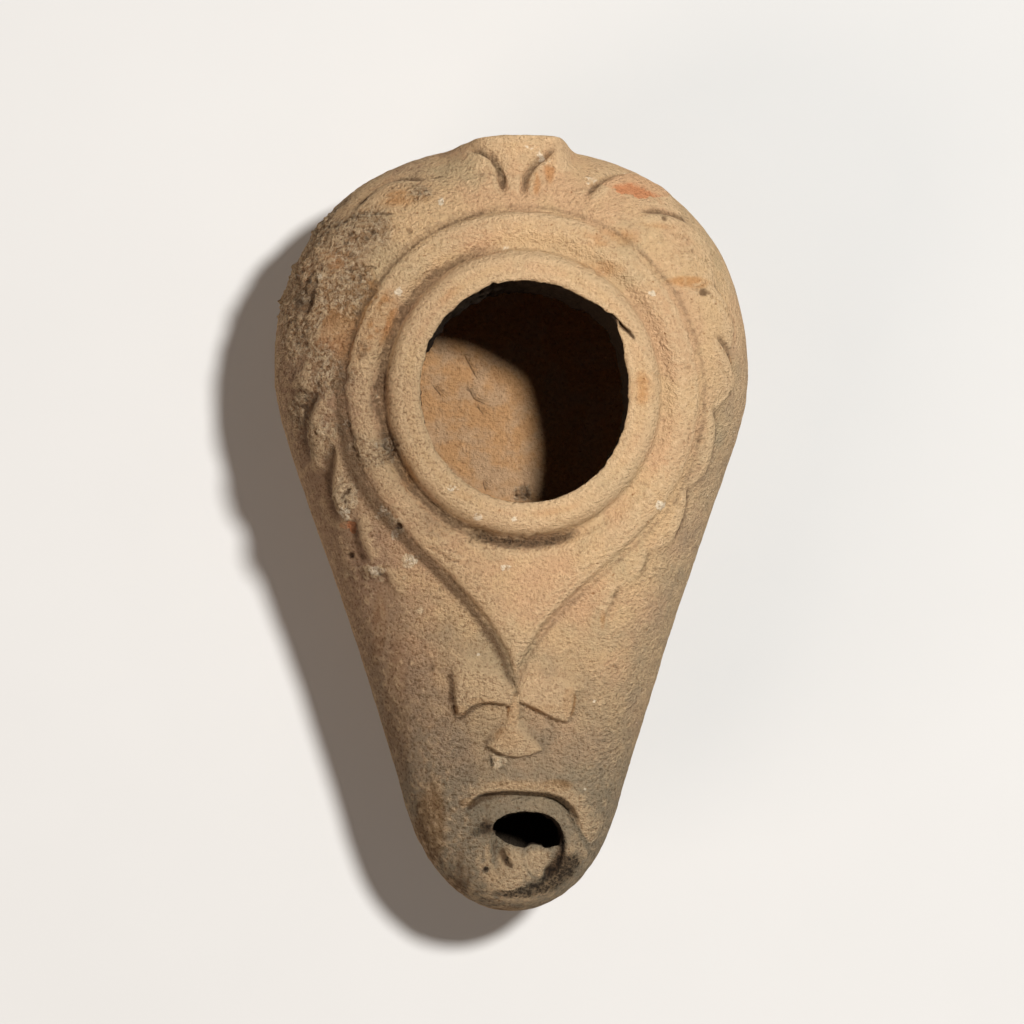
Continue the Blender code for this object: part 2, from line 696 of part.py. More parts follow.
def lamp_shell():
    shell = Shell()
    plan = resample(OUTLINE, round(perimeter(OUTLINE) / (1.5 * CARVED_SPACING)))
    normal = outward(plan)
    seam = shell.loop(plan, SEAM_HEIGHT)
    filling, wick = upper_skin(shell, seam, plan, normal)
    lower_skin(shell, seam, plan, normal)
    low = []
    for loop, lean in ((filling, HOLE_LEAN), (wick, 0.0)):
        low_plan = np.array(shell.points)[loop][:, :2] - (0.0, lean)
        low.append(shell.loop(low_plan, cavity_ceiling(low_plan)))
        shell.strip(loop, low[-1])
    cavity(shell, *low)
    return shell


def clay():
    material = bpy.data.materials.new("fired_clay")
    material.use_nodes = True
    shader = material.node_tree.nodes["Principled BSDF"]
    shader.inputs["Base Color"].default_value = CLAY_COLOUR
    shader.inputs["Roughness"].default_value = CLAY_ROUGHNESS
    shader.inputs["Metallic"].default_value = 0.0
    material.diffuse_color = CLAY_COLOUR
    return material


def lamp_body():
    """The whole lamp, thinned where its skin is nearly flat."""
    shell = lamp_shell()
    mesh = bpy.data.meshes.new("lamp_body")
    mesh.from_pydata(shell.points, [], shell.faces)
    mesh.shade_smooth()
    mesh.set_sharp_from_angle(angle=math.radians(50.0))
    mesh.materials.append(clay())
    body = bpy.data.objects.new("lamp_body", mesh)
    bpy.context.scene.collection.objects.link(body)
    thin = body.modifiers.new("thin_flat_places", "DECIMATE")
    thin.decimate_type = "COLLAPSE"
    thin.ratio = KEPT_SHARE
    return body


def main():
    for thing in list(bpy.data.objects):
        bpy.data.objects.remove(thing, do_unlink=True)
    lamp_body()


main()
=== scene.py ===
# %% [markdown]
# # A clay oil lamp pressed in two moulds
#
# Lamps like this one were made by the hundred. Two stone or plaster moulds gave an upper and a
# lower half, which were luted together while the clay was wet. The filling hole and the wick hole
# were cut through, and the lamp was fired.
#
# The packed part already has the lamp's true size, walls and carving. This lesson lays a finer
# skin over the same form, wears it down, lets earth and soot settle on it, and lights it.

# %% Load the packed lamp
import math
import bpy
import numpy as np
from mathutils import Matrix, Vector
from mathutils.geometry import delaunay_2d_cdt


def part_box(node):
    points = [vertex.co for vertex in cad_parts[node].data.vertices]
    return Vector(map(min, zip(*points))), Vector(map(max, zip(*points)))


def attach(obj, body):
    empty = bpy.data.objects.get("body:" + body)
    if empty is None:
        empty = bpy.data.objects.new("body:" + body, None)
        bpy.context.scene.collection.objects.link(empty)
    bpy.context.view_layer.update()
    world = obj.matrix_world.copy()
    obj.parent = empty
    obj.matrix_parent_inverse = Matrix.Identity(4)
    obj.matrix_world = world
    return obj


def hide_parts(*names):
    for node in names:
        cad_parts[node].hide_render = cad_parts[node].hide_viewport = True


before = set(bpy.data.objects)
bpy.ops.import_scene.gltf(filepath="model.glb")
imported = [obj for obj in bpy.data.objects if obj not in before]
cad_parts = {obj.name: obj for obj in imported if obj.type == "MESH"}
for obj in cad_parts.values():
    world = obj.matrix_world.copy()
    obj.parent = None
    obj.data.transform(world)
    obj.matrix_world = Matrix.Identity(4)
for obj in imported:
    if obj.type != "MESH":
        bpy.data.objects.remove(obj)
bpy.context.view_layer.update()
MM = 0.001
lamp_low, lamp_high = (np.array(corner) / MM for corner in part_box("lamp_body"))
LENGTH = lamp_high[1] - lamp_low[1]
WIDTH = lamp_high[0] - lamp_low[0]
print(f"the packed lamp is {LENGTH:.1f} mm long and {WIDTH:.1f} mm wide")

# %% [markdown]
# ## The camera comes first
#
# The lamp is seen from almost straight above, with a long lens, which keeps its outline free of
# distortion. The camera is placed before anything is modelled, because small marks such as pits
# and stains are easier to put where they are seen than where they are measured.
#
# Any camera direction could be typed in as angles. Building its axes from the direction it looks
# along keeps the handle end at the top of the picture.

# %% Place the camera
PICTURE_SIDE = 1024
PIXEL_AT_SEAM = 0.1292
CAMERA_DISTANCE = 700.0
CAMERA_TARGET = np.array([0.06, 1.92, 16.5])
CAMERA_NEAR = 0.01
LEAN_LEFT = math.tan(math.radians(5.5))
LEAN_FORWARD = math.tan(math.radians(6.0))


def unit(vector):
    return vector / np.linalg.norm(vector)


def put_in_scene(name, data):
    """A new object that shows this mesh, light or camera."""
    thing = bpy.data.objects.new(name, data)
    bpy.context.scene.collection.objects.link(thing)
    return thing


towards_camera = unit(np.array([-LEAN_LEFT, -LEAN_FORWARD, 1.0]))
picture_right = unit(np.cross([0.0, 1.0, 0.0], towards_camera))
picture_up = np.cross(towards_camera, picture_right)
camera_place = CAMERA_TARGET + towards_camera * CAMERA_DISTANCE

camera_data = bpy.data.cameras.new("overhead_camera")
camera_data.angle = 2 * math.atan(PIXEL_AT_SEAM * PICTURE_SIDE / 2 / CAMERA_DISTANCE)
camera_data.clip_start = CAMERA_NEAR
camera = put_in_scene("overhead_camera", camera_data)
axes = np.column_stack([picture_right, picture_up, towards_camera, camera_place * MM])
camera.matrix_world = Matrix([*axes.tolist(), [0.0, 0.0, 0.0, 1.0]])
bpy.context.scene.camera = camera
print("the camera stands", (camera_place * MM).round(3), "and looks down at the lamp")

# %% [markdown]
# ## Plan curves
#
# Seen from above, everything on the lamp is a curve: the pear-shaped seam where the two halves
# meet, the oval filling hole, the pointed edge of the platform round it. A Blender curve object
# could hold each one, but plain arrays of points are easier to measure distances from, and every
# shape below is a function of such distances. All clay work is reckoned in millimetres.

# %% Draw the pear-shaped outline
SEAM_HEIGHT = 16.5
WALL = 3.8
TIP_Y = -LENGTH / 2
BACK_Y = LENGTH / 2
# Where the outline is drawn through, and how far its curves are pulled: shares of the length, or
# of half the width
NECK_SHARE, FLANK_SHARE, WIDEST_SHARE = 0.142, 0.478, 0.713
NECK_WIDTH_SHARE = 0.45
TIP_PULL, TIP_ROUND, TIP_RISE = 0.25, 0.39, 0.55
FLANK_PULL = 0.75
SHOULDER_PULL, BACK_PULL = 0.116, 0.155
BACK_ROUND = 0.67


def bezier(start, pull_start, pull_end, end, count=48):
    t = np.linspace(0.0, 1.0, count, endpoint=False)[:, None]
    s = 1.0 - t
    return s**3 * start + 3 * s * s * t * pull_start + 3 * s * t * t * pull_end + t**3 * end


def gone_along(path):
    """How far each point lies from the start of its path, measured along it."""
    return np.concatenate([[0.0], np.cumsum(np.linalg.norm(np.diff(path, axis=0), axis=1))])


def at_steps(path, count, endpoint=True):
    """Points at even steps along a path."""
    gone = gone_along(path)
    wanted = np.linspace(0.0, gone[-1], count, endpoint=endpoint)
    return np.column_stack([np.interp(wanted, gone, path[:, k]) for k in (0, 1)])


def resample(loop, count):
    """The closed loop again, with points at even steps along it."""
    return at_steps(np.vstack([loop, loop[:1]]), count, endpoint=False)


def lamp_outline(count=400):
    half = WIDTH / 2
    neck_y, flank_y, widest_y = (
        TIP_Y + share * LENGTH for share in (NECK_SHARE, FLANK_SHARE, WIDEST_SHARE))
    tip, back = (0.0, TIP_Y), (0.0, BACK_Y)
    neck, widest = (NECK_WIDTH_SHARE * half, neck_y), (half, widest_y)
    over_tip = (TIP_ROUND * half, TIP_Y + TIP_RISE * (neck_y - TIP_Y))
    runs = (
        (tip, (TIP_PULL * half, TIP_Y), over_tip, neck),
        (neck, (FLANK_PULL * half, flank_y), (half, widest_y - SHOULDER_PULL * LENGTH), widest),
        (widest, (half, widest_y + BACK_PULL * LENGTH), (BACK_ROUND * half, BACK_Y), back),
    )
    right = np.vstack([bezier(*np.array(run)) for run in runs])
    left = right[:0:-1] * (-1.0, 1.0)
    return resample(np.vstack([right, [(0.0, BACK_Y)], left]), count)


def perimeter(loop):
    return np.linalg.norm(loop - np.roll(loop, 1, axis=0), axis=1).sum()


def unit_rows(vectors):
    return vectors / np.linalg.norm(vectors, axis=1)[:, None]


def outward(loop):
    """Unit vectors in plan that point out of a loop that runs anticlockwise."""
    tangent = np.roll(loop, -1, axis=0) - np.roll(loop, 1, axis=0)
    return unit_rows(np.column_stack([tangent[:, 1], -tangent[:, 0]]))


OUTLINE = lamp_outline()
print(f"the seam is {perimeter(OUTLINE):.0f} mm round")

# %% Measure distances from curves


def inside(points, loop):
    """Even-odd test of points against a closed loop."""
    found = np.zeros(len(points), bool)
    x, y = points[:, 0], points[:, 1]
    for (ax, ay), (bx, by) in zip(loop, np.roll(loop, -1, axis=0)):
        if ay == by:
            continue
        crosses = (ay > y) != (by > y)
        found ^= crosses & (x < (bx - ax) * (y - ay) / (by - ay) + ax)
    return found


def path_distance(points, path):
    """Distance to an open path, the share of the path at the nearest place, and the side of it."""
    best = np.full(len(points), np.inf)
    share = np.zeros(len(points))
    side = np.zeros(len(points))
    runs = np.linalg.norm(np.diff(path, axis=0), axis=1)
    gone = gone_along(path)
    for start, end, run, before in zip(path[:-1], path[1:], runs, gone):
        along = (end - start) / run
        to = points - start
        t = np.clip(to @ along, 0.0, run)
        off = to - t[:, None] * along
        distance = np.hypot(off[:, 0], off[:, 1])
        nearer = distance < best
        best[nearer] = distance[nearer]
        share[nearer] = ((before + t) / gone[-1])[nearer]
        side[nearer] = np.sign(along[0] * to[:, 1] - along[1] * to[:, 0])[nearer]
    return best, share, side


def loop_distance(points, loop):
    """Distance to a closed loop, positive inside it."""
    distance, _, _ = path_distance(points, np.vstack([loop, loop[:1]]))
    return np.where(inside(points, loop), distance, -distance)


def smooth(t):
    """A soft climb from 0 to 1."""
    t = np.clip(t, 0.0, 1.0)
    return t * t * (3.0 - 2.0 * t)


def faded_ends(values, share, gain, start=0.0):
    """The values, faded towards both ends of the path that the share is measured along."""
    return values * smooth(gain * share + start) * smooth(gain * (1.0 - share) + start)


def ellipse(half_width, half_length, x, y, count):
    turn = np.linspace(0.0, 2 * math.pi, count, endpoint=False)
    return np.column_stack([x + half_width * np.cos(turn), y + half_length * np.sin(turn)])


print("the widest place is", round(WIDEST_SHARE * LENGTH, 1), "mm from the nozzle's tip")

# %% [markdown]
# ## The two domes
#
# A mould-pressed half is a shallow dome: it climbs steeply from the seam, rolls over, and is
# nearly flat in the middle. A lofted surface or a subdivided cage would do. Here the height is a
# function of the distance in from the seam, a quarter of an ellipse, because then the inside of
# the wall is the same function drawn one wall thickness further in.

# %% Shape the domes
RESERVOIR_RISE = 14.6
NOZZLE_RISE = 7.4
NOZZLE_DEPTH = 6.5
RING_HEIGHT = 1.0
TOP_ROLL_BACK = 12.0
TOP_ROLL_TIP = 5.5
BOTTOM_ROLL_BACK = 18.0
BOTTOM_ROLL_TIP = 8.0
BOTTOM_FULLNESS = 0.66
CAVITY_ROLL_LOSS = 0.4
HOLE_WIDTH = 26.6
HOLE_LENGTH = 28.4
HOLE_CENTRE = np.array([0.0, BACK_Y - 34.0])
HOLE_FRONT_Y = HOLE_CENTRE[1] - HOLE_LENGTH / 2
BATCH = 2000


def towards_tip(y):
    """0 over the reservoir, 1 at the nozzle tip."""
    return smooth((HOLE_FRONT_Y - y) / (HOLE_FRONT_Y - TIP_Y))


def towards_left(plan):
    """0 along the middle and on the right, 1 at the left edge of the outline."""
    right = OUTLINE[OUTLINE[:, 0] >= 0]
    order = np.argsort(right[:, 1])
    half_width = np.interp(plan[:, 1], right[order, 1], right[order, 0])
    return np.clip(-plan[:, 0] / np.maximum(half_width, 1.0), 0.0, 1.0)


def top_roll(y):
    return TOP_ROLL_BACK + (TOP_ROLL_TIP - TOP_ROLL_BACK) * towards_tip(y)


def bottom_roll(y):
    return BOTTOM_ROLL_BACK + (BOTTOM_ROLL_TIP - BOTTOM_ROLL_BACK) * towards_tip(y)


def top_height(points, depth_in, wall=0.0):
    y = points[:, 1]
    rise = RESERVOIR_RISE + (NOZZLE_RISE - RESERVOIR_RISE) * towards_tip(y)
    t = np.clip(depth_in / (top_roll(y) - CAVITY_ROLL_LOSS * wall), 0.0, 1.0)
    return SEAM_HEIGHT + (rise - wall) * np.sqrt(1.0 - (1.0 - t) ** 2)


def bottom_height(points, depth_in, wall=0.0):
    y = points[:, 1]
    full = SEAM_HEIGHT - RING_HEIGHT
    depth = full + (NOZZLE_DEPTH - full) * towards_tip(y)
    t = np.clip(depth_in / (bottom_roll(y) - CAVITY_ROLL_LOSS * wall), 0.0, 1.0)
    return SEAM_HEIGHT - (depth - wall) * (1.0 - (1.0 - t) ** 2) ** BOTTOM_FULLNESS


def depth_in(points):
    """Distance in from the seam, reckoned for a batch of points against every stretch at once."""
    stretch = np.roll(OUTLINE, -1, axis=0) - OUTLINE
    squared = (stretch**2).sum(axis=1)
    nearest = np.empty(len(points))
    for first in range(0, len(points), BATCH):
        to = points[first:first + BATCH, None] - OUTLINE[None]
        share = np.clip((to * stretch).sum(axis=2) / squared, 0.0, 1.0)
        gap = to - share[:, :, None] * stretch
        nearest[first:first + BATCH] = np.sqrt((gap**2).sum(axis=2).min(axis=1))
    return nearest


def outer_top(points):
    return top_height(points, depth_in(points))


def outer_bottom(points):
    return bottom_height(points, depth_in(points))


def cavity_ceiling(points):
    return top_height(points, depth_in(points) - WALL, WALL)


def cavity_floor(points):
    return bottom_height(points, depth_in(points) - WALL, WALL)


print("the dome is", round(float(outer_top(HOLE_CENTRE[None])[0]), 1), "mm high at the filling hole")

# %% [markdown]
# ## From a place in the picture to a place on the clay
#
# Pits, stains and crumbs are named below by the pixel where they are seen. A ray could be cast
# from the camera onto the finished mesh. The dome is a simple function, so a few steps along the
# ray, each one to the height found under the last, come to the same place with no mesh at all.

# %% Find a place on the clay
RAY_STEPS = 10
SLOPE_STEP = 0.1


def skin_normal(plan):
    """Unit vectors square to the plain dome at these plan positions."""
    across, back = (SLOPE_STEP, 0.0), (0.0, SLOPE_STEP)
    slope_x = outer_top(plan + across) - outer_top(plan - across)
    slope_y = outer_top(plan + back) - outer_top(plan - back)
    return unit_rows(np.column_stack([-slope_x, -slope_y, np.full(len(plan), 2 * SLOPE_STEP)]))


def pixel_rays(pixels):
    """Lines of sight through these pixels, each scaled to climb 1 mm."""
    pixels = np.atleast_2d(np.asarray(pixels, float))
    across = (pixels[:, 0] - PICTURE_SIDE / 2 + 0.5) * PIXEL_AT_SEAM
    up = (PICTURE_SIDE / 2 - 0.5 - pixels[:, 1]) * PIXEL_AT_SEAM
    ray = CAMERA_TARGET + across[:, None] * picture_right + up[:, None] * picture_up - camera_place
    return ray / ray[:, 2:]


def on_clay(pixels, stand=0.0):
    """Plan positions on the upper skin that are seen at these pixels. The stand is how far the
    relief rises out of the plain dome there."""
    ray = pixel_rays(pixels)
    height = np.full(len(ray), SEAM_HEIGHT + RESERVOIR_RISE)
    plan = (camera_place + ray * (height - camera_place[2])[:, None])[:, :2]
    for _ in range(RAY_STEPS):
        place = camera_place + ray * (height - camera_place[2])[:, None]
        normal = skin_normal(plan)
        plan = 0.5 * (plan + place[:, :2] - stand * normal[:, :2])
        height = 0.5 * (height + outer_top(plan) + stand * normal[:, 2])
    return plan


def on_floor(pixels):
    """Plan positions on the reservoir's floor that are seen at these pixels."""
    ray = pixel_rays(pixels)
    plan = on_clay(pixels)
    for _ in range(RAY_STEPS):
        place = camera_place + ray * (cavity_floor(plan) - camera_place[2])[:, None]
        plan = 0.5 * (plan + place[:, :2])
    return plan


NOZZLE_TOP_PIXEL = (520, 780)
print("the middle of the nozzle's top is at", on_clay(NOZZLE_TOP_PIXEL)[0].round(1), "mm")

# %% [markdown]
# ## Carving in the mould
#
# The relief was cut into the mould as grooves and came out raised: a round band round the
# filling hole, a flat platform drawn out to a point, tongues that sweep down both shoulders, and
# a flared cross. It could be sculpted or painted as a displacement image. Each motif here is a
# small function that says how far the clay stands out along its own surface, so that every
# width and height can be read and changed.

# %% Carve the band, the groove and the platform
RIM_WIDTH = 4.2
RIM_RISE = 2.4
RIM_LIP_DROP = 0.5
RIM_CREST_SHARE = 0.42
GROOVE_WIDTH = 1.8
GROOVE_DEPTH = 0.85
GROOVE_PLACE = 0.35 * GROOVE_WIDTH
WORN_SIDE = np.array([0.86, 0.51])
HOLE_STEPS = 160
PLATFORM_WIDTH = 4.7
PLATFORM_RISE = 1.15
PLATFORM_EDGE = 1.25
PLATFORM_SWELL = 0.45
PLATFORM_CREST = 2.1
PLATFORM_CREASE = 0.35
PLATFORM_TROUGH = 0.75
PLATFORM_TROUGH_WIDTH = 1.35
PLATFORM_POINT = np.array([-0.7, HOLE_FRONT_Y - 21.4])
PLATFORM_LEAVES_AT = math.radians(-34.0)
PLATFORM_FLOW, PLATFORM_EASE = 0.45, np.array([0.15, 0.42])


def hole_loop(grow, count):
    return ellipse(HOLE_WIDTH / 2 + grow, HOLE_LENGTH / 2 + grow, *HOLE_CENTRE, count)


def out_from_hole(points):
    """Distance out from the clean edge of the filling hole."""
    return -loop_distance(points, hole_loop(0.0, HOLE_STEPS))


def bump_at(distance, width):
    """A smooth bump, 1 at no distance, that fades over about this width."""
    return np.exp(-((distance / width) ** 2))


def kept_crisp(points):
    """1 round the lower left of the filling hole, and less towards the worn upper right."""
    arm = points - HOLE_CENTRE
    turned = arm @ WORN_SIDE / np.maximum(np.hypot(arm[:, 0], arm[:, 1]), 1.0)
    return 0.25 + 0.75 * smooth(0.5 - 0.9 * turned)


def rim_band(points):
    """A round band round the filling hole, and the groove at its foot."""
    out = np.maximum(out_from_hole(points), 0.0)
    share = out / RIM_WIDTH
    before_crest = np.clip(1.0 - share / RIM_CREST_SHARE, 0.0, 1.0)
    after_crest = np.clip((share - RIM_CREST_SHARE) / (1.0 - RIM_CREST_SHARE), 0.0, 1.0)
    flank = 0.6 * np.sqrt(1.0 - after_crest**2) + 0.4 * (1.0 - after_crest**2)
    groove = bump_at(out - RIM_WIDTH - GROOVE_PLACE, 0.5 * GROOVE_WIDTH)
    groove = GROOVE_DEPTH * kept_crisp(points) * groove
    return RIM_RISE * flank - RIM_LIP_DROP * before_crest**2 - groove


def platform_loop():
    """The keyhole-shaped edge of the platform, an oval drawn out to a point."""
    grow = RIM_WIDTH + PLATFORM_WIDTH
    half_width = HOLE_WIDTH / 2 + grow
    half_length = HOLE_LENGTH / 2 + 1.02 * grow
    leave = PLATFORM_LEAVES_AT
    turn = np.linspace(leave, math.pi - leave, 120)
    oval = HOLE_CENTRE + np.column_stack([half_width * np.cos(turn), half_length * np.sin(turn)])
    drop = oval[0][1] - PLATFORM_POINT[1]
    flow = unit(np.array([-half_width * math.sin(leave), half_length * math.cos(leave)]))
    flow = flow * -PLATFORM_FLOW * drop
    ease = PLATFORM_EASE * (half_width, drop)
    mirror = np.array([-1.0, 1.0])
    left = bezier(oval[-1], oval[-1] + flow * mirror, PLATFORM_POINT + ease * mirror, PLATFORM_POINT, 24)
    right = bezier(PLATFORM_POINT, PLATFORM_POINT + ease, oval[0] + flow, oval[0], 24)
    return np.vstack([oval[:-1], left, right])


PLATFORM = platform_loop()


def left_of_middle(points):
    """1 on the left half of the lamp and 0 on the right, with a soft change between."""
    return smooth(0.5 - (points[:, 0] - PLATFORM_POINT[0]) / 4.0)


def platform(points):
    """The platform's step, with a round crest along its edge and a crease at its foot."""
    into = loop_distance(points, PLATFORM)
    step = PLATFORM_RISE * smooth(0.5 + into / PLATFORM_EDGE)
    swell = PLATFORM_SWELL * bump_at(into - PLATFORM_CREST, 0.7 * PLATFORM_CREST)
    crease = PLATFORM_CREASE * bump_at(into + 0.45 * PLATFORM_EDGE, 0.5 * PLATFORM_EDGE)
    in_front = smooth(0.5 + (HOLE_CENTRE[1] - points[:, 1]) / 14.0)
    trough = PLATFORM_TROUGH * bump_at(into + 0.55 * PLATFORM_TROUGH_WIDTH, PLATFORM_TROUGH_WIDTH)
    return step + swell - crease - trough * in_front * left_of_middle(points)


print(f"the platform's edge is {perimeter(PLATFORM):.0f} mm round")

# %% List the tongues on the shoulders
# Each tongue's outer edge as it is seen, from the handle's side down, its strength, and the
# millimetres over which the clay falls away from it
RIGHT_TONGUES = (
    (((584, 207), (591, 193), (604, 179), (620, 173), (638, 175), (667, 190), (682, 208)), 1.0, 0.9),
    (((633, 216), (647, 213), (664, 214), (688, 223), (706, 238), (714, 254)), 0.9, 1.0),
    (((708, 279), (721, 294), (731, 312), (735, 330), (732, 344)), 0.9, 1.0),
    (((710, 331), (723, 346), (732, 367), (735, 385), (730, 402)), 1.0, 1.0),
    (((709, 402), (717, 425), (715, 452), (706, 480)), 0.9, 1.0),
    (((686, 480), (688, 502), (682, 525), (673, 545)), 0.8, 1.2),
    (((652, 545), (647, 562), (641, 580)), 0.4, 1.2),
    (((620, 580), (612, 603), (603, 625)), 0.35, 1.2),
)
LEFT_TONGUES = (
    (((424, 180), (410, 177), (395, 178), (378, 185), (362, 199), (352, 211)), 0.8, 0.6),
    (((395, 213), (369, 212), (345, 222), (325, 234), (311, 252)), 0.45, 2.0),
    (((313, 280), (308, 298), (300, 313)), 0.3, 2.4),
    (((313, 345), (302, 360), (293, 376), (290, 392)), 0.45, 2.4),
    (((326, 386), (312, 405), (306, 426), (308, 450), (315, 472)), 1.0, 1.6),
    (((338, 436), (333, 455), (331, 485), (336, 508), (350, 522)), 1.3, 2.8),
    (((356, 508), (358, 528), (361, 545), (370, 568)), 0.85, 2.2),
    (((383, 564), (387, 580), (396, 602)), 0.45, 2.0),
)
# Each shoulder's side, tongues, softness in degrees, and depth and width of its creases. The
# right one is rubbed soft, and the left one kept its creases
SHOULDERS = ((1, RIGHT_TONGUES, 15, 0.6, 0.48), (-1, LEFT_TONGUES, 7, 0.5, 0.8))
print(len(RIGHT_TONGUES), "tongues sweep down the right shoulder, and", len(LEFT_TONGUES),
      "down the left")

# %% Sweep the tongues down the shoulders
TONGUE_RISE = 0.85
TONGUE_SWELL = 0.36
TONGUE_STAND = 0.9
TONGUE_CREST, TONGUE_CREST_WIDTH = 0.8, 1.0
TONGUE_FALL = 1.4
# Degrees round the hole over which the tongues' strength and slope are evened out
EVENED_OVER = 23


def curve_through(places, steps=6):
    """A smooth path through these places."""
    beyond = np.vstack([2 * places[0] - places[1], places, 2 * places[-1] - places[-2]])
    runs = [bezier(b, b + (c - a) / 6, c - (d - b) / 6, c, steps)
            for a, b, c, d in zip(beyond, beyond[1:], beyond[2:], beyond[3:])]
    return np.vstack([*runs, places[-1:]])


def tongue_path(pixels):
    return curve_through(on_clay(pixels, TONGUE_STAND))


def ray_reach(loop, angles):
    """How far a loop lies from the filling hole's centre, along rays at these angles."""
    arm = loop - HOLE_CENTRE
    angle = np.arctan2(arm[:, 1], arm[:, 0])
    order = np.argsort(angle)
    return np.interp(angles, angle[order], np.hypot(arm[:, 0], arm[:, 1])[order], period=2 * math.pi)


def shoulder_place(points):
    """Degrees down from the handle, less than 0 on the left, how far each point lies beyond the
    platform's edge, and how wide the shoulder is there."""
    arm = points - HOLE_CENTRE
    turn = np.arctan2(arm[:, 1], arm[:, 0])
    inner, outer = ray_reach(PLATFORM, turn), ray_reach(OUTLINE, turn)
    angle = (270.0 - np.degrees(turn)) % 360.0 - 180.0
    return angle, np.hypot(arm[:, 0], arm[:, 1]) - inner, outer - inner


def tongue_reach(side, rows, softness):
    """For each degree down from the handle, the share of the shoulder that the tongues cover,
    their strength, and the width of the slope beyond them."""
    angles = np.arange(181.0)
    reach, strength, slope = np.zeros((3, len(angles)))
    for pixels, power, fall in rows:
        angle, beyond, width = shoulder_place(tongue_path(pixels))
        share = np.interp(angles, side * angle, beyond / width)
        passed = (angles >= (side * angle).min()) & (angles <= (side * angle).max())
        outermost = passed & (share > reach)
        reach[outermost] = share[outermost]
        strength[outermost] = power
        slope[outermost] = fall
    known = reach > 0
    reach, slope = (np.interp(angles, angles[known], values[known]) for values in (reach, slope))
    strength = np.interp(angles, angles[known], strength[known], left=0.0, right=0.0)
    softened = []
    for values, spread in ((reach, softness), (strength, EVENED_OVER), (slope, EVENED_OVER)):
        soften = np.hanning(spread) / np.hanning(spread).sum()
        softened.append(np.convolve(values, soften, "same"))
    return angles, *softened


def tongues(points):
    """Overlapping tongues in a raised band with a scalloped edge, parted by creases."""
    angle, beyond, width = shoulder_place(points)
    rise = np.zeros(len(points))
    for side, rows, softness, _, _ in SHOULDERS:
        here = side * angle > 0
        angles, *values = tongue_reach(side, rows, softness)
        reach, strength, slope = (np.interp(side * angle[here], angles, value) for value in values)
        fallen = np.clip(1.0 + (reach * width[here] - beyond[here]) / slope, 0.0, 1.0)
        rise[here] += TONGUE_RISE * strength * fallen**TONGUE_FALL
    crease, swell = tongue_creases(points)
    return rise + TONGUE_SWELL * swell - crease


def tongue_creases(points):
    """How deep the creases beside the tongues are, and how much the tongues swell next to them."""
    deepest, swollen = np.zeros((2, len(points)))
    for side, rows, _, depth, width in SHOULDERS:
        for pixels, power, _ in rows:
            distance, share, turned = path_distance(points, tongue_path(pixels))
            into = -side * turned * distance
            ends = faded_ends(power, share, 4.0)
            deepest = np.maximum(deepest, ends * depth * bump_at(into + 0.7 * width, width))
            swollen = np.maximum(swollen, ends * bump_at(into - TONGUE_CREST, TONGUE_CREST_WIDTH))
    return deepest, swollen


first_tongue = tongue_path(RIGHT_TONGUES[0][0])
print(f"the tongue beside the handle is {gone_along(first_tongue)[-1]:.0f} mm long")

# %% Raise the worn cross
CROSS_EDGE = 0.55
CROSS_CREASE = 0.5
CROSS_STAND = 0.8
# The cross as it is seen, each part anticlockwise on the clay, with how far it stands out, the
# row of pixels where its edges are crisp, and how many rows higher and how wide they have faded
CROSS_PARTS = (
    (((453, 652), (454, 680), (455, 704), (458, 716), (464, 712), (471, 706), (480, 702), (492, 701),
      (503, 703), (511, 706), (514, 690), (500, 672), (480, 660)), 1.35, 688, 26, 4.0),
    (((517, 686), (517, 701), (526, 704), (538, 710), (550, 717), (560, 721), (568, 722), (573, 708),
      (576, 686), (560, 676), (535, 676)), 1.15, 704, 18, 4.0),
    (((510, 696), (509, 712), (506, 724), (502, 738), (516, 742), (524, 738), (519, 724),
      (519, 696)), 0.95, 760, 60, 0.7),
    (((509, 722), (499, 734), (488, 746), (496, 752), (506, 756), (518, 757), (530, 755), (543, 750),
      (534, 738), (519, 722)), 1.2, 748, 12, 1.8),
)


def cross_loops():
    return [on_clay(part[0], CROSS_STAND) for part in CROSS_PARTS]


def cross(points):
    """The worn cross: crisp along its lower edges, and sunk into the clay along the upper ones."""
    rise, crease, covered = np.zeros((3, len(points)))
    for pixels, stand, crisp_row, rows_up, faded in CROSS_PARTS:
        middle = np.mean(pixels, axis=0)[0]
        heights = on_clay(((middle, crisp_row), (middle, crisp_row - rows_up)), CROSS_STAND)
        crisp_y, faded_y = heights[:, 1]
        above = smooth((points[:, 1] - crisp_y) / (faded_y - crisp_y))
        into = loop_distance(points, on_clay(pixels, CROSS_STAND))
        edge = CROSS_EDGE + (faded - CROSS_EDGE) * above
        rise = np.maximum(rise, stand * smooth(0.5 + into / edge))
        foot = bump_at(into + 0.5 * CROSS_EDGE, 0.6 * CROSS_EDGE)
        crease = np.maximum(crease, foot * (1.0 - above))
        covered = np.maximum(covered, smooth(0.5 + into / CROSS_EDGE))
    return rise - CROSS_CREASE * crease * (1.0 - covered)


cross_size = np.ptp(np.vstack(cross_loops()), axis=0)
print(f"the cross is {cross_size[0]:.0f} mm wide and {cross_size[1]:.0f} mm long")

# %% Sink the wick hole's collar
WICK_CENTRE = np.array([1.0, TIP_Y + 7.0])
WICK_WIDTH = 9.8
WICK_LENGTH = 10.8
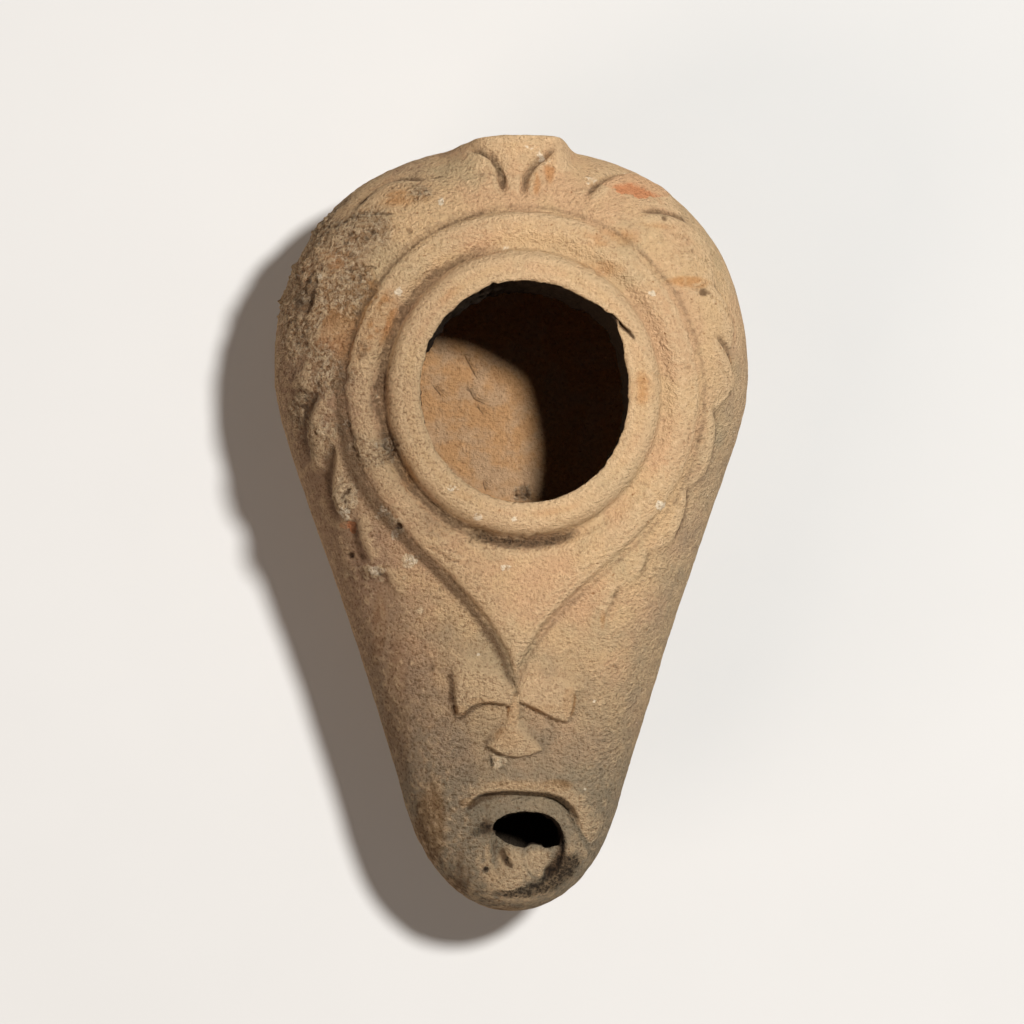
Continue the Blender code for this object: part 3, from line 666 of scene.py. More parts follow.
# The rim of the opening as it is seen, anticlockwise on the clay from its right corner
WICK_OPENING = (
    (563, 833), (559, 822), (551, 815), (540, 811), (526, 810), (511, 812), (500, 816), (493, 822),
    (490, 830), (497, 836), (505, 842), (516, 846), (526, 849), (531, 844), (539, 845), (546, 849),
    (552, 849), (558, 841),
)
WICK_STAND = -1.0
COLLAR_DEPTH = 1.15
COLLAR_WIDTH = 3.0
COLLAR_STAND = -0.3
BROW_RISE = 0.5
BROW_WIDTH = 1.5
BROW_CREASE = 0.8
BROW_CREASE_WIDTH = 0.42
# The brow's crease as it is seen, from its left end to its right end
BROW = ((461, 811), (470, 804), (480, 797), (494, 794), (512, 793), (530, 794), (548, 795), (560, 800),
        (571, 810), (578, 823), (584, 838), (590, 852))
RAMP_DEPTH = 1.3
WICK_STEPS = 60


def brow_path():
    return curve_through(on_clay(BROW, COLLAR_STAND))


def wick_rise(points):
    """The brow behind the wick hole, the collar sunk under it, and the ramp that slopes into
    the opening."""
    distance, share, turned = path_distance(points, brow_path())
    under = -turned * distance
    ends = smooth(share / 0.2 + 0.1) * smooth((1.0 - share) / 0.32)
    step = COLLAR_DEPTH * smooth(0.5 + under / (2.0 * BROW_CREASE_WIDTH))
    step *= bump_at(np.maximum(under, 0.0), COLLAR_WIDTH)
    crease = BROW_CREASE * bump_at(under - 0.5 * BROW_CREASE_WIDTH, BROW_CREASE_WIDTH)
    brow = BROW_RISE * bump_at(under + BROW_WIDTH, BROW_WIDTH)
    from_front = points[:, 1] - WICK_CENTRE[1] + 0.35 * WICK_LENGTH
    behind = smooth(from_front / (0.5 * WICK_LENGTH))
    hole = ellipse(WICK_WIDTH / 2, WICK_LENGTH / 2, *WICK_CENTRE, WICK_STEPS)
    ramp = smooth(loop_distance(points, hole) / RAMP_DEPTH) * (0.35 + 0.65 * behind)
    return ends * (brow - step - crease) - RAMP_DEPTH * ramp


print(f"the brow behind the wick hole is {gone_along(brow_path())[-1]:.0f} mm long")

# %% Raise the handle lug
LUG_LENGTH = 9.0
LUG_TOP = 12.2
LUG_HALF_TOP = 4.4
LUG_LEFT_SLOPE = 5.5
LUG_RIGHT_SLOPE = 3.8
LUG_RISE = 0.8
LUG_BACK = 0.5
LUG_GROOVE_WIDTH = 0.5
LUG_GROOVE_DEPTH = 1.1
# Each groove runs forwards from the lug's back edge: millimetres across, and back from the middle
LUG_GROOVES = (
    ((-6.0, 47.5), (-4.9, 47.3), (-3.6, 46.4), (-2.8, 44.9), (-2.4, 42.6), (-2.1, 40.6)),
    ((4.3, 47.9), (3.0, 46.6), (1.6, 45.5), (0.6, 44.0), (0.3, 42.2), (0.3, 40.4)),
)


def lug_lift(points, height):
    """How far the lug's nearly level top stands above the falling shoulder."""
    share = (points[:, 1] - BACK_Y + LUG_LENGTH) / LUG_LENGTH
    slope = np.where(points[:, 0] < 0, LUG_LEFT_SLOPE, LUG_RIGHT_SLOPE)
    on_lug = smooth((LUG_HALF_TOP + slope - np.abs(points[:, 0])) / slope) * smooth(share / 0.5)
    stand = np.maximum(SEAM_HEIGHT + LUG_TOP - height, 0.0)
    return on_lug * (LUG_RISE + stand) * smooth(depth_in(points) / LUG_BACK)


def lug_grooves(points):
    """Two grooves that draw together towards the filling hole."""
    grooves = np.zeros(len(points))
    for path in LUG_GROOVES:
        distance, share, _ = path_distance(points, np.array(path))
        fade = smooth((1.0 - share) / 0.3) * smooth(0.5 + share / 0.15)
        grooves = np.maximum(grooves, bump_at(distance, LUG_GROOVE_WIDTH) * fade)
    return -LUG_GROOVE_DEPTH * grooves


def carving(points):
    off_platform = 1.0 - smooth(0.5 + loop_distance(points, PLATFORM) / PLATFORM_EDGE)
    raised = np.maximum(platform(points), cross(points))
    shoulders = off_platform * tongues(points)
    return rim_band(points) + raised + shoulders + wick_rise(points) + lug_grooves(points)


print("the carving at the filling hole's front edge stands out by",
      carving(HOLE_CENTRE[None] - (0.0, HOLE_LENGTH / 2 + 1.0))[0].round(1), "mm")

# %% [markdown]
# ## Noise for weathered clay
#
# Fifteen centuries in the ground leave clay uneven at every size: slow dents, a granular skin,
# crumbs of earth that stick. Blender's textures make such noise in a shader, but a shape that
# casts a shadow has to be in the mesh. Two small functions give it: a smooth noise of random
# values on a grid, and rounded crumbs round random centres. Both draw from a seeded generator,
# so the lamp is the same each time.

# %% Make noise that repeats
GRID = 32


def soft_noise(places, size, seed):
    """Smooth random values from -1 to 1, with features of about this size."""
    values = np.random.default_rng(seed).uniform(-1.0, 1.0, (GRID, GRID, GRID))
    place = places / size + 7.3 * seed
    cell = np.floor(place).astype(int)
    part = place - cell
    part = part * part * (3.0 - 2.0 * part)
    total = np.zeros(len(places))
    for corner in np.ndindex(2, 2, 2):
        weight = np.prod(np.where(corner, part, 1.0 - part), axis=1)
        at = (cell + corner) % GRID
        total += weight * values[at[:, 0], at[:, 1], at[:, 2]]
    return total


def layered_noise(places, size, layers, seed):
    """Noise on noise, each layer half the size and a little over half the strength."""
    total = np.zeros(len(places))
    for k in range(layers):
        total += 0.55**k * soft_noise(places, size * 0.5**k, seed + k)
    return total


def crumbs(places, size, seed):
    """Rounded crumbs, 0 between them and up to 1 at their middles."""
    random = np.random.default_rng(seed)
    centres = random.uniform(0.15, 0.85, (GRID, GRID, GRID, 3))
    radii = random.uniform(0.25, 0.62, (GRID, GRID, GRID))
    place = places / size + 3.1 * seed
    cell = np.floor(place).astype(int)
    tallest = np.zeros(len(places))
    for step in np.ndindex(3, 3, 3):
        other = cell + step - 1
        at = tuple((other % GRID).T)
        gap = np.linalg.norm(place - other - centres[at], axis=1) / radii[at]
        tallest = np.maximum(tallest, np.clip(1.0 - gap * gap, 0.0, 1.0) * radii[at] / 0.62)
    return tallest


sample = np.random.default_rng(1).uniform(-30.0, 30.0, (2000, 3))
print("soft noise spreads by", soft_noise(sample, 5.0, 1).std().round(2), "and crumbs cover",
      round(float((crumbs(sample, 1.0, 1) > 0).mean()), 2), "of the clay")

# %% [markdown]
# ## A closed skin of triangles
#
# The lamp is one closed surface: the carved top, the plain underside, the two hole walls and the
# hollow inside. A solid with Boolean cuts would also give it, but its triangles would be long and
# uneven, and wear needs small even ones. Loops of points climb the steep roll above the seam, and
# a triangulation in plan fills the rest. It is fine on the carved side and coarse where little
# shows.

# %% Fill a plan with points


def closed(loops):
    return [np.vstack([loop, loop[:1]]) for loop in loops]


def between_loops(points, border, *holes):
    """Which points lie inside the border and in none of the holes."""
    found = inside(points, border)
    for hole in holes:
        found &= ~inside(points, hole)
    return found


def marks_within(lines, border, holes, spacing):
    """The stretches of these lines that keep clear of a border and its holes."""
    marks = []
    for line in lines:
        line = at_steps(line, max(2, round(gone_along(line)[-1] / spacing) + 1))
        clear = loop_distance(line, border) > 0.6 * spacing
        for hole in holes:
            clear &= loop_distance(line, hole) < -0.6 * spacing
        ends = np.flatnonzero(np.diff(np.concatenate([[False], clear, [False]]).astype(int)))
        marks += [line[a:b] for a, b in zip(ends[::2], ends[1::2]) if b - a > 1]
    return marks


def lattice(loops, spacing):
    """Points in rows of triangles inside the first loop and outside the others."""
    low, high = loops[0].min(axis=0), loops[0].max(axis=0)
    rows = []
    for k, y in enumerate(np.arange(low[1], high[1], spacing * math.sqrt(3.0) / 2)):
        x = np.arange(low[0] + (k % 2) * spacing / 2, high[0], spacing)
        rows.append(np.column_stack([x, np.full(len(x), y)]))
    points = np.vstack(rows)
    return points[between_loops(points, *loops)]


print("a fill of 1 mm lattice inside the seam takes", len(lattice([OUTLINE], 1.0)), "points")

# %% Sew loops and fills into a skin
SAME_PLACE = 1e-6
NO_LENGTH = 1e-12


class Skin:
    """Points and outward triangles of the lamp's closed skin, in millimetres."""

    def __init__(self):
        self.points = np.zeros((0, 3))
        self.faces = np.zeros((0, 3), int)

    def loop(self, plan, height):
        first = len(self.points)
        added = np.column_stack([plan, np.broadcast_to(height, len(plan))])
        self.points = np.vstack([self.points, added])
        return np.arange(first, len(self.points))

    def strip(self, outer, inner):
        """Faces between two loops. They look up where the second loop is the inner one."""
        after_outer, after_inner = np.roll(outer, -1), np.roll(inner, -1)
        lower = np.column_stack([outer, after_outer, after_inner])
        upper = np.column_stack([outer, after_inner, inner])
        self.faces = np.vstack([self.faces, lower, upper])

    def fill(self, border, holes, marks, spacing, height, upward):
        """Faces between a border loop and its hole loops. Their edges follow the marks, which
        are lines in plan, and points at a spacing fill the rest."""
        plans = [self.points[loop][:, :2] for loop in (border, *holes)]
        added = lattice(plans, spacing)
        for line in [*closed(plans), *marks]:
            added = added[path_distance(added, line)[0] > 0.55 * spacing]
        plan = np.vstack([*plans, *marks, added])
        edges = []
        first = 0
        for loop in plans:
            count = len(loop)
            edges += [(first + k, first + (k + 1) % count) for k in range(count)]
            first += count
        for line in marks:
            edges += [(first + k, first + k + 1) for k in range(len(line) - 1)]
            first += len(line)
        vectors = [Vector(place) for place in plan]
        places, _, faces, source, _, _ = delaunay_2d_cdt(vectors, edges, [], 0, SAME_PLACE)
        places = np.array([tuple(place) for place in places])
        known = np.concatenate([border, *holes])
        order = np.full(len(places), -1)
        for k, origins in enumerate(source):
            kept = [origin for origin in origins if origin < len(known)]
            if kept:
                order[k] = known[kept[0]]
        new = order < 0
        order[new] = self.loop(places[new], height(places[new]))
        faces = np.array(faces)
        faces = faces[between_loops(places[faces].mean(axis=1), *plans)]
        a, b, c = (places[faces[:, k]] for k in range(3))
        turned = (b[:, 0] - a[:, 0]) * (c[:, 1] - a[:, 1]) - (b[:, 1] - a[:, 1]) * (c[:, 0] - a[:, 0])
        wrong = (turned > 0) != upward
        faces[wrong] = faces[wrong][:, ::-1]
        self.faces = np.vstack([self.faces, order[faces]])

    def normals(self):
        a, b, c = (self.points[self.faces[:, k]] for k in range(3))
        face_normals = np.cross(b - a, c - a)
        total = np.zeros_like(self.points)
        for k in range(3):
            np.add.at(total, self.faces[:, k], face_normals)
        return total / np.maximum(np.linalg.norm(total, axis=1), NO_LENGTH)[:, None]


skin = Skin()
print("the skin starts with", len(skin.points), "points")

# %% Break the edges of the holes
CARVED_SPACING = 0.265
CHIPS, FINE_CHIPS = (3.2, 3, 51), (1.0, 2, 52)
CHIP_REACH = 2.6
CHIP_START, CHIP_DEPTH, ADDED_AT_BACK, FINE_CHIP_DEPTH = 0.15, 0.25, 0.45, 0.07
FLAKE_PIXEL = (608, 318)
FLAKE_DEPTH = 0.95
FLAKE_WIDTH = 4.4
SOFTEN_ROUNDS = 3


def level_places(plan):
    return np.column_stack([plan, np.zeros(len(plan))])


def hole_chips(plan):
    """How far the broken edge of the filling hole is bitten back, by its place round the hole."""
    places = level_places(plan)
    bites = np.clip(layered_noise(places, *CHIPS) - CHIP_START, 0.0, 1.0)
    fine = FINE_CHIP_DEPTH * layered_noise(places, *FINE_CHIPS)
    at_back = smooth((plan[:, 1] - HOLE_CENTRE[1]) / (0.4 * HOLE_LENGTH))
    from_flake = np.linalg.norm(plan - on_clay(FLAKE_PIXEL, RIM_RISE), axis=1)
    flake = FLAKE_DEPTH * bump_at(from_flake, FLAKE_WIDTH)
    return fine + (CHIP_DEPTH + ADDED_AT_BACK * at_back) * bites + flake


def wick_opening(count):
    """The round-backed opening, with an uneven front edge where the ramp of earth ends."""
    corners = on_clay(WICK_OPENING, WICK_STAND)
    rounded = resample(corners, 4 * len(corners))
    for _ in range(SOFTEN_ROUNDS):
        rounded = (np.roll(rounded, 1, axis=0) + 2.0 * rounded + np.roll(rounded, -1, axis=0)) / 4.0
    return resample(rounded, count)


clean_plan = hole_loop(0.0, round(math.pi * HOLE_WIDTH / CARVED_SPACING))
bitten = hole_chips(clean_plan)
print("the deepest chip bites", round(float(bitten.max()), 1), "mm into the band")

# %% Build the carved top
SEAM_SPACING = 0.38
RIM_LOOPS = 16
RIM_FOOT = 1.02 * RIM_WIDTH
# How many loops climb a roll, and how far round its curve they go before the fill takes over
TOP_LOOPS, TOP_LOOPS_END = 24, math.radians(48.0)


def roll(skin, seam, plan, normal, width, height, flip, steps, end):
    """Loops that climb from the seam round the roll of a dome. The last one borders the fill."""
    before = seam
    for step in range(1, steps + 1):
        depth = width(plan[:, 1]) * (1.0 - math.cos(end * step / steps))
        inner = plan - normal * depth[:, None]
        loop = skin.loop(inner, height(inner, depth))
        skin.strip(*((loop, before) if flip else (before, loop)))
        before = loop
    return before


seam_plan = resample(OUTLINE, round(perimeter(OUTLINE) / SEAM_SPACING))
seam_normal = outward(seam_plan)
seam = skin.loop(seam_plan, SEAM_HEIGHT)
top_border = roll(
    skin, seam, seam_plan, seam_normal, top_roll, top_height, False, TOP_LOOPS, TOP_LOOPS_END)
chips = (outward(clean_plan).T * bitten).T
filling_plan = clean_plan + chips
filling = skin.loop(filling_plan, outer_top(filling_plan))
foot = filling
for step in range(1, RIM_LOOPS + 1):
    reach = RIM_FOOT * step / RIM_LOOPS
    band_plan = hole_loop(reach, len(filling_plan)) + chips * (1.0 - smooth(reach / CHIP_REACH))
    band = skin.loop(band_plan, outer_top(band_plan))
    skin.strip(band, foot)
    foot = band
wick_plan = wick_opening(round(2.6 * WICK_WIDTH / CARVED_SPACING))
wick = skin.loop(wick_plan, outer_top(wick_plan))
edge = 0.5 * PLATFORM_EDGE * outward(PLATFORM)
lines = [*closed([PLATFORM + edge, PLATFORM - edge, *cross_loops()]), brow_path()]
border_plan = skin.points[top_border][:, :2]
marks = marks_within(lines, border_plan, [band_plan, wick_plan], CARVED_SPACING)
skin.fill(top_border, [foot, wick], marks, CARVED_SPACING, outer_top, True)

upper = np.arange(len(skin.points))
upper_plan = skin.points[:, :2].copy()
lift = lug_lift(upper_plan, skin.points[:, 2])
skin.points += skin.normals() * carving(upper_plan)[:, None]
skin.points[:, 2] += lift
print("the carved top has", len(skin.faces), "triangles")

# %% [markdown]
# ## The underside and the hollow
#
# The underside and the hollow are the same two functions again. The base ring is level, so that
# the lamp stands. Nobody sees the hollow's ceiling, so its triangles are large. Its floor is seen
# through the filling hole, so it has rings and lines of small triangles where a crumb of earth
# and a few cracks will be.

# %% Close the underside
PLAIN_SPACING = 0.95
BOTTOM_LOOPS, BOTTOM_LOOPS_END = 12, math.radians(40.0)
RING_SHARE = 0.42
RING_WIDTH = 2.4
RING_SLOPE = 0.9
RING_CENTRE = HOLE_CENTRE - (0.0, 5.5)

bottom_border = roll(
    skin, seam, seam_plan, seam_normal, bottom_roll, bottom_height, True, BOTTOM_LOOPS,
    BOTTOM_LOOPS_END)
ring_steps = round(RING_SHARE * perimeter(OUTLINE) / PLAIN_SPACING)
ring_plan = resample(OUTLINE, ring_steps) * RING_SHARE + RING_CENTRE
half_ring = RING_WIDTH / 2
ring_marks = closed([
    ring_plan + outward(ring_plan) * offset
    for offset in (-half_ring - RING_SLOPE, -half_ring, half_ring, half_ring + RING_SLOPE)])


def underside(points):
    level = np.abs(loop_distance(points, ring_plan)) < half_ring + 0.3 * RING_SLOPE
    return np.where(level, 0.0, outer_bottom(points))


skin.fill(bottom_border, [], ring_marks, PLAIN_SPACING, underside, False)
outside_count = len(skin.points)
print(f"the base ring is {perimeter(ring_plan):.0f} mm round")

# %% Close the hollow
HIDDEN_SPACING = 1.8
CEILING_LOOPS, FLOOR_LOOPS, HOLLOW_LOOPS_END = 4, 6, math.radians(32.0)
HOLE_WALL_LOOPS, WICK_WALL_LOOPS = 14, 7
HOLE_LEAN = 0.8
FLOOR_SPACING = 0.2
FLOOR_CRUST = on_floor((523, 493))[0]
FLOOR_CRUST_RADIUS = 1.15
FEWEST_STEPS = 6
FLOOR_CRACKS = tuple(curve_through(on_floor(pixels)) for pixels in (
    ((465, 356), (469, 364), (475, 375)), ((470, 391), (474, 398), (482, 402)),
    ((478, 407), (481, 411)), ((435, 388), (440, 394)), ((483, 483), (485, 489))))


def beside(line, offset):
    """A path that runs along another one at this distance."""
    flow = unit_rows(np.gradient(line, axis=0))
    return line + offset * np.column_stack([-flow[:, 1], flow[:, 0]])


def hole_wall(skin, upper, lean, loops):
    """The wall of a hole, from its upper edge loop down to the hollow's ceiling."""
    top = skin.points[upper]
    low_height = cavity_ceiling(top[:, :2] - (0.0, lean))
    before = upper
    for step in range(1, loops + 1):
        share = step / loops
        plan = top[:, :2] - (0.0, lean * share)
        loop = skin.loop(plan, top[:, 2] + (low_height - top[:, 2]) * share)
        skin.strip(before, loop)
        before = loop
    return before


filling_low = hole_wall(skin, filling, HOLE_LEAN, HOLE_WALL_LOOPS)
wick_low = hole_wall(skin, wick, 0.0, WICK_WALL_LOOPS)
hole_walls = np.arange(outside_count, len(skin.points))
hollow_outline = resample(OUTLINE, round(perimeter(OUTLINE) / HIDDEN_SPACING))
hollow_normal = outward(hollow_outline)
hollow_plan = hollow_outline - hollow_normal * WALL
hollow_seam = skin.loop(hollow_plan, SEAM_HEIGHT)
ceiling_border = roll(
    skin, hollow_seam, hollow_plan, hollow_normal, lambda y: top_roll(y) - CAVITY_ROLL_LOSS * WALL,
    lambda p, d: top_height(p, d, WALL), True, CEILING_LOOPS, HOLLOW_LOOPS_END)
skin.fill(ceiling_border, [filling_low, wick_low], [], HIDDEN_SPACING, cavity_ceiling, False)
floor_border = roll(
    skin, hollow_seam, hollow_plan, hollow_normal, lambda y: bottom_roll(y) - CAVITY_ROLL_LOSS * WALL,
    lambda p, d: bottom_height(p, d, WALL), False, FLOOR_LOOPS, HOLLOW_LOOPS_END)
floor_first = len(skin.points)
crust_rings = closed([
    ellipse(size, size, *FLOOR_CRUST, max(FEWEST_STEPS, round(2 * math.pi * size / FLOOR_SPACING)))
    for size in np.arange(FLOOR_SPACING, 1.8 * FLOOR_CRUST_RADIUS, FLOOR_SPACING)])
floor_lines = [
    beside(line, offset)
    for line in FLOOR_CRACKS for offset in (-FLOOR_SPACING, 0.0, FLOOR_SPACING)]
floor_plan = skin.points[floor_border][:, :2]
floor_marks = marks_within([*crust_rings, *floor_lines], floor_plan, [], FLOOR_SPACING)
skin.fill(floor_border, [], floor_marks, PLAIN_SPACING, cavity_floor, True)
print("the closed skin has", len(skin.faces), "triangles")

# %% [markdown]
# ## Wear
#
# The surface is no longer crisp. It has slow dents from handling the wet clay, a granular skin,
# pits where grit fell out, a few thin cracks, a chipped hole edge, and crumbs of earth that
# settled in the hollows, on the left shoulder and on the reservoir's floor. Sculpting would give
# them too, but not twice the same. Each is a rise along the surface again, reckoned from the same
# noise, and the lists of marks name where each one is seen.

# %% List the pits and cracks
# Each pit's pixel, radius and depth
PITS = (
    (663, 218, 0.4, 0.45), (704, 291, 0.6, 0.55), (698, 288, 0.3, 0.35), (709, 292, 0.32, 0.35),
    (678, 292, 0.32, 0.35), (707, 260, 0.45, 0.35), (700, 257, 0.28, 0.2), (687, 367, 0.3, 0.3),
    (663, 420, 0.32, 0.3), (650, 404, 0.3, 0.35), (664, 463, 0.36, 0.2), (647, 484, 0.3, 0.25),
    (700, 441, 0.42, 0.4), (698, 432, 0.3, 0.25), (700, 468, 0.36, 0.25), (617, 596, 0.36, 0.35),
    (620, 669, 0.35, 0.25), (344, 557, 0.42, 0.6), (371, 231, 0.42, 0.45), (366, 236, 0.3, 0.35),
    (349, 231, 0.45, 0.4), (343, 240, 0.35, 0.35), (409, 230, 0.45, 0.35), (356, 312, 0.42, 0.4),
    (407, 309, 0.35, 0.3), (402, 316, 0.28, 0.25), (347, 424, 0.32, 0.35), (484, 872, 0.4, 0.5),
    (577, 590, 0.32, 0.25), (597, 276, 0.3, 0.25), (616, 297, 0.36, 0.25), (640, 255, 0.28, 0.2),
    (445, 620, 0.28, 0.2), (430, 668, 0.42, 0.3), (583, 742, 0.28, 0.2), (560, 640, 0.28, 0.18),
    (398, 526, 0.45, 0.55), (293, 300, 0.45, 0.55), (303, 278, 0.4, 0.45), (376, 400, 0.3, 0.3),
    (375, 386, 0.32, 0.3), (402, 398, 0.26, 0.25), (478, 588, 0.32, 0.3), (536, 536, 0.3, 0.3),
    (470, 541, 0.35, 0.4), (484, 547, 0.3, 0.35), (372, 535, 0.24, 0.2), (378, 536, 0.22, 0.2),
    (632, 463, 0.26, 0.25), (600, 487, 0.28, 0.3), (556, 521, 0.26, 0.25), (653, 323, 0.28, 0.2),
    (448, 700, 0.26, 0.2), (592, 668, 0.24, 0.2), (440, 590, 0.26, 0.22), (533, 600, 0.26, 0.2),
    (688, 243, 0.3, 0.3), (693, 250, 0.34, 0.3), (683, 252, 0.26, 0.25), (697, 263, 0.28, 0.25),
    (673, 241, 0.26, 0.22), (662, 236, 0.22, 0.2), (681, 262, 0.26, 0.22), (712, 297, 0.3, 0.3),
)
# Each crack's path of pixels, width and depth
CRACKS = (
    (((673, 233), (681, 238), (685, 234), (691, 241), (698, 244)), 0.15, 0.22),
    (((673, 249), (680, 253), (683, 260), (692, 262)), 0.14, 0.22),
    (((664, 262), (668, 257), (676, 251), (685, 252)), 0.13, 0.18),
    (((690, 288), (698, 288), (706, 284)), 0.18, 0.3),
    (((656, 237), (664, 240)), 0.16, 0.2),
    (((713, 295), (720, 303), (727, 312), (731, 322)), 0.18, 0.22),
    (((714, 358), (721, 366), (728, 378), (731, 386)), 0.18, 0.22),
    (((607, 316), (615, 324), (621, 330), (627, 334), (633, 341)), 0.28, 1.2),
    (((633, 341), (638, 346), (642, 352), (646, 354)), 0.13, 0.22),
    (((635, 338), (640, 349), (648, 361)), 0.16, 0.3),
    (((629, 361), (641, 370), (652, 376), (663, 379)), 0.16, 0.26),
    (((425, 545), (438, 551), (447, 559), (462, 562)), 0.2, 0.3),
    (((431, 546), (445, 548), (460, 554)), 0.13, 0.18),
    (((358, 263), (367, 264), (378, 266)), 0.16, 0.25),
    (((368, 213), (380, 211), (393, 212)), 0.16, 0.22),
    (((697, 430), (701, 440), (706, 443)), 0.16, 0.25),
    (((676, 487), (679, 497), (681, 510)), 0.16, 0.22),
    (((503, 848), (505, 856), (509, 863), (514, 869)), 0.38, 0.9),
    (((499, 845), (500, 854), (507, 866), (515, 871), (522, 870)), 0.13, 0.22),
    (((563, 838), (565, 850), (563, 862), (557, 872), (549, 883)), 0.55, 1.1),
    (((558, 797), (568, 803), (577, 813), (582, 825)), 0.14, 0.25),
    (((430, 171), (444, 168)), 0.2, 0.25),
    (((491, 755), (492, 762), (495, 766)), 0.2, 0.45),
    (((501, 758), (505, 769), (509, 773)), 0.16, 0.35),
    (((505, 758), (510, 767)), 0.14, 0.25),
    (((547, 720), (553, 727), (555, 736)), 0.14, 0.25),
    (((537, 667), (546, 672), (553, 680)), 0.13, 0.18),
    (((532, 686), (537, 692)), 0.13, 0.18),
    (((309, 290), (305, 302), (300, 313)), 0.3, 0.55),
    (((488, 148), (498, 160), (505, 174)), 0.14, 0.3),
    (((350, 488), (344, 496), (347, 505)), 0.22, 0.4),
)
MARK_STAND = 1.0
print(len(PITS), "pits and", len(CRACKS), "cracks; the first pit is at",
      on_clay(PITS[0][:2], MARK_STAND)[0].round(1), "mm")

# %% List the crumbs and the crust
# Each deposit's pixel, radius and height
DEPOSITS = (
    (346, 491, 1.2, 0.65), (341, 499, 0.8, 0.55), (351, 500, 0.9, 0.5), (347, 505, 0.6, 0.4),
    (341, 510, 0.7, 0.4), (347, 516, 0.6, 0.3), (350, 447, 0.7, 0.4), (352, 455, 0.4, 0.3),
    (381, 510, 0.6, 0.45), (377, 516, 0.5, 0.35), (387, 513, 0.5, 0.4), (391, 521, 0.6, 0.55),
    (399, 520, 0.5, 0.45), (395, 530, 0.6, 0.5), (396, 538, 0.4, 0.35), (402, 529, 0.4, 0.4),
    (365, 569, 0.6, 0.5), (371, 575, 0.7, 0.5), (380, 570, 0.7, 0.45), (376, 581, 0.5, 0.35),
    (405, 557, 0.7, 0.5), (411, 561, 0.8, 0.6), (403, 565, 0.5, 0.4), (417, 556, 0.4, 0.3),
    (366, 437, 0.7, 0.3), (373, 443, 0.9, 0.35), (383, 441, 0.7, 0.35), (387, 450, 0.6, 0.35),
    (379, 456, 0.8, 0.3), (391, 459, 0.5, 0.3), (417, 611, 0.5, 0.35), (402, 578, 0.4, 0.3),
    (365, 597, 0.4, 0.3), (385, 607, 0.35, 0.25), (398, 292, 0.4, 0.25), (317, 275, 0.7, 0.4),
    (306, 279, 0.5, 0.35), (310, 294, 0.6, 0.4), (298, 297, 0.9, 0.5), (288, 299, 0.6, 0.45),
    (322, 430, 0.8, 0.35), (332, 434, 0.6, 0.35), (327, 424, 0.5, 0.3), (296, 398, 0.9, 0.35),
    (500, 761, 1.0, 0.55), (495, 757, 0.6, 0.45), (651, 294, 0.35, 0.2), (660, 505, 0.5, 0.25),
    (665, 498, 0.4, 0.22), (440, 198, 0.4, 0.2), (592, 176, 0.6, 0.15), (376, 396, 0.4, 0.35),
    (379, 401, 0.3, 0.3), (560, 736, 0.4, 0.15), (503, 565, 0.5, 0.18), (452, 492, 0.5, 0.12),
)
# Each crusted oval's pixel, half width, half length and strength
CRUSTED = (
    (297, 295, 3.4, 9.0, 1.0), (338, 232, 6.5, 3.6, 0.95), (330, 205, 9.0, 2.6, 0.55),
    (330, 270, 5.0, 6.0, 0.8), (300, 340, 3.6, 7.5, 0.7), (318, 432, 3.0, 3.4, 0.75),
    (300, 398, 2.2, 4.0, 0.75), (345, 497, 1.8, 2.8, 0.7), (375, 447, 2.8, 2.8, 0.6),
    (322, 375, 3.0, 4.0, 0.6), (348, 330, 1.6, 9.0, 0.5), (400, 190, 5.0, 1.6, 0.45),
    (389, 525, 2.6, 2.4, 0.35), (362, 575, 2.6, 1.6, 0.35),
)
# Grit has gathered in the groove in front of the band, within these pixels
GRITTY_ENDS = ((448, 530), (598, 530))
GRITTY_WIDTH = 0.8
print(len(DEPOSITS), "deposits stick to the clay, and crust covers", len(CRUSTED), "ovals")

# %% Describe the wear
# The size in millimetres, layers and seed of each noise, or the size and seed
SLOW_DENTS, DENTS, GRAINS = (10.0, 11), (3.5, 2, 12), (0.8, 2, 14)
CRUST_EDGE, CRUST_THICKNESS, CRUST_GRAIN = (3.0, 3, 41), (2.4, 2, 18), (1.1, 3, 16)
CRUST_CRUMBS, DEPOSIT_CRUMBS, GRIT_CRUMBS = (0.64, 15), (0.62, 17), (0.6, 19)
RAGGED = (0.7, 2, 61)
# How far each kind of wear stands out of the clay, or sinks into it, in millimetres
SLOW_DENT_RISE, DENT_RISE, GRAIN_RISE = 0.18, 0.06, 0.05
THIN_CRUMBS, THICK_CRUMBS, THICK_RISE = 0.12, 0.44, 0.1
CRUST_GRAIN_RISE, CRUST_SINK = 0.15, 0.08
GRIT_RISE, GRIT_SINK = 0.8, 0.35
# The share of a deposit's height that is plain, the share in crumbs, and that of a pit's depth
PLAIN_DEPOSIT, CRUMBLY_DEPOSIT, PIT_SHARE = 0.15, 0.95, 0.55


def spots(plan, rows):
    """The tallest of several round spots at each place."""
    tallest = np.zeros(len(plan))
    middles = on_clay([row[:2] for row in rows], MARK_STAND)
    ragged = 0.4 * layered_noise(level_places(plan), *RAGGED)
    for middle, (_, _, radius, height) in zip(middles, rows):
        gap = np.linalg.norm(plan - middle, axis=1) / radius + ragged
        tallest = np.maximum(tallest, height * smooth(1.35 - gap))
    return tallest


def patches(plan, rows):
    """The strongest of several soft oval patches at each place."""
    amount = np.zeros(len(plan))
    middles = on_clay([row[:2] for row in rows], MARK_STAND)
    for middle, (_, _, half_width, half_length, strength) in zip(middles, rows):
        arm = (plan - middle) / (half_width, half_length)
        amount = np.maximum(amount, strength * smooth(1.5 - np.linalg.norm(arm, axis=1)))
    return amount


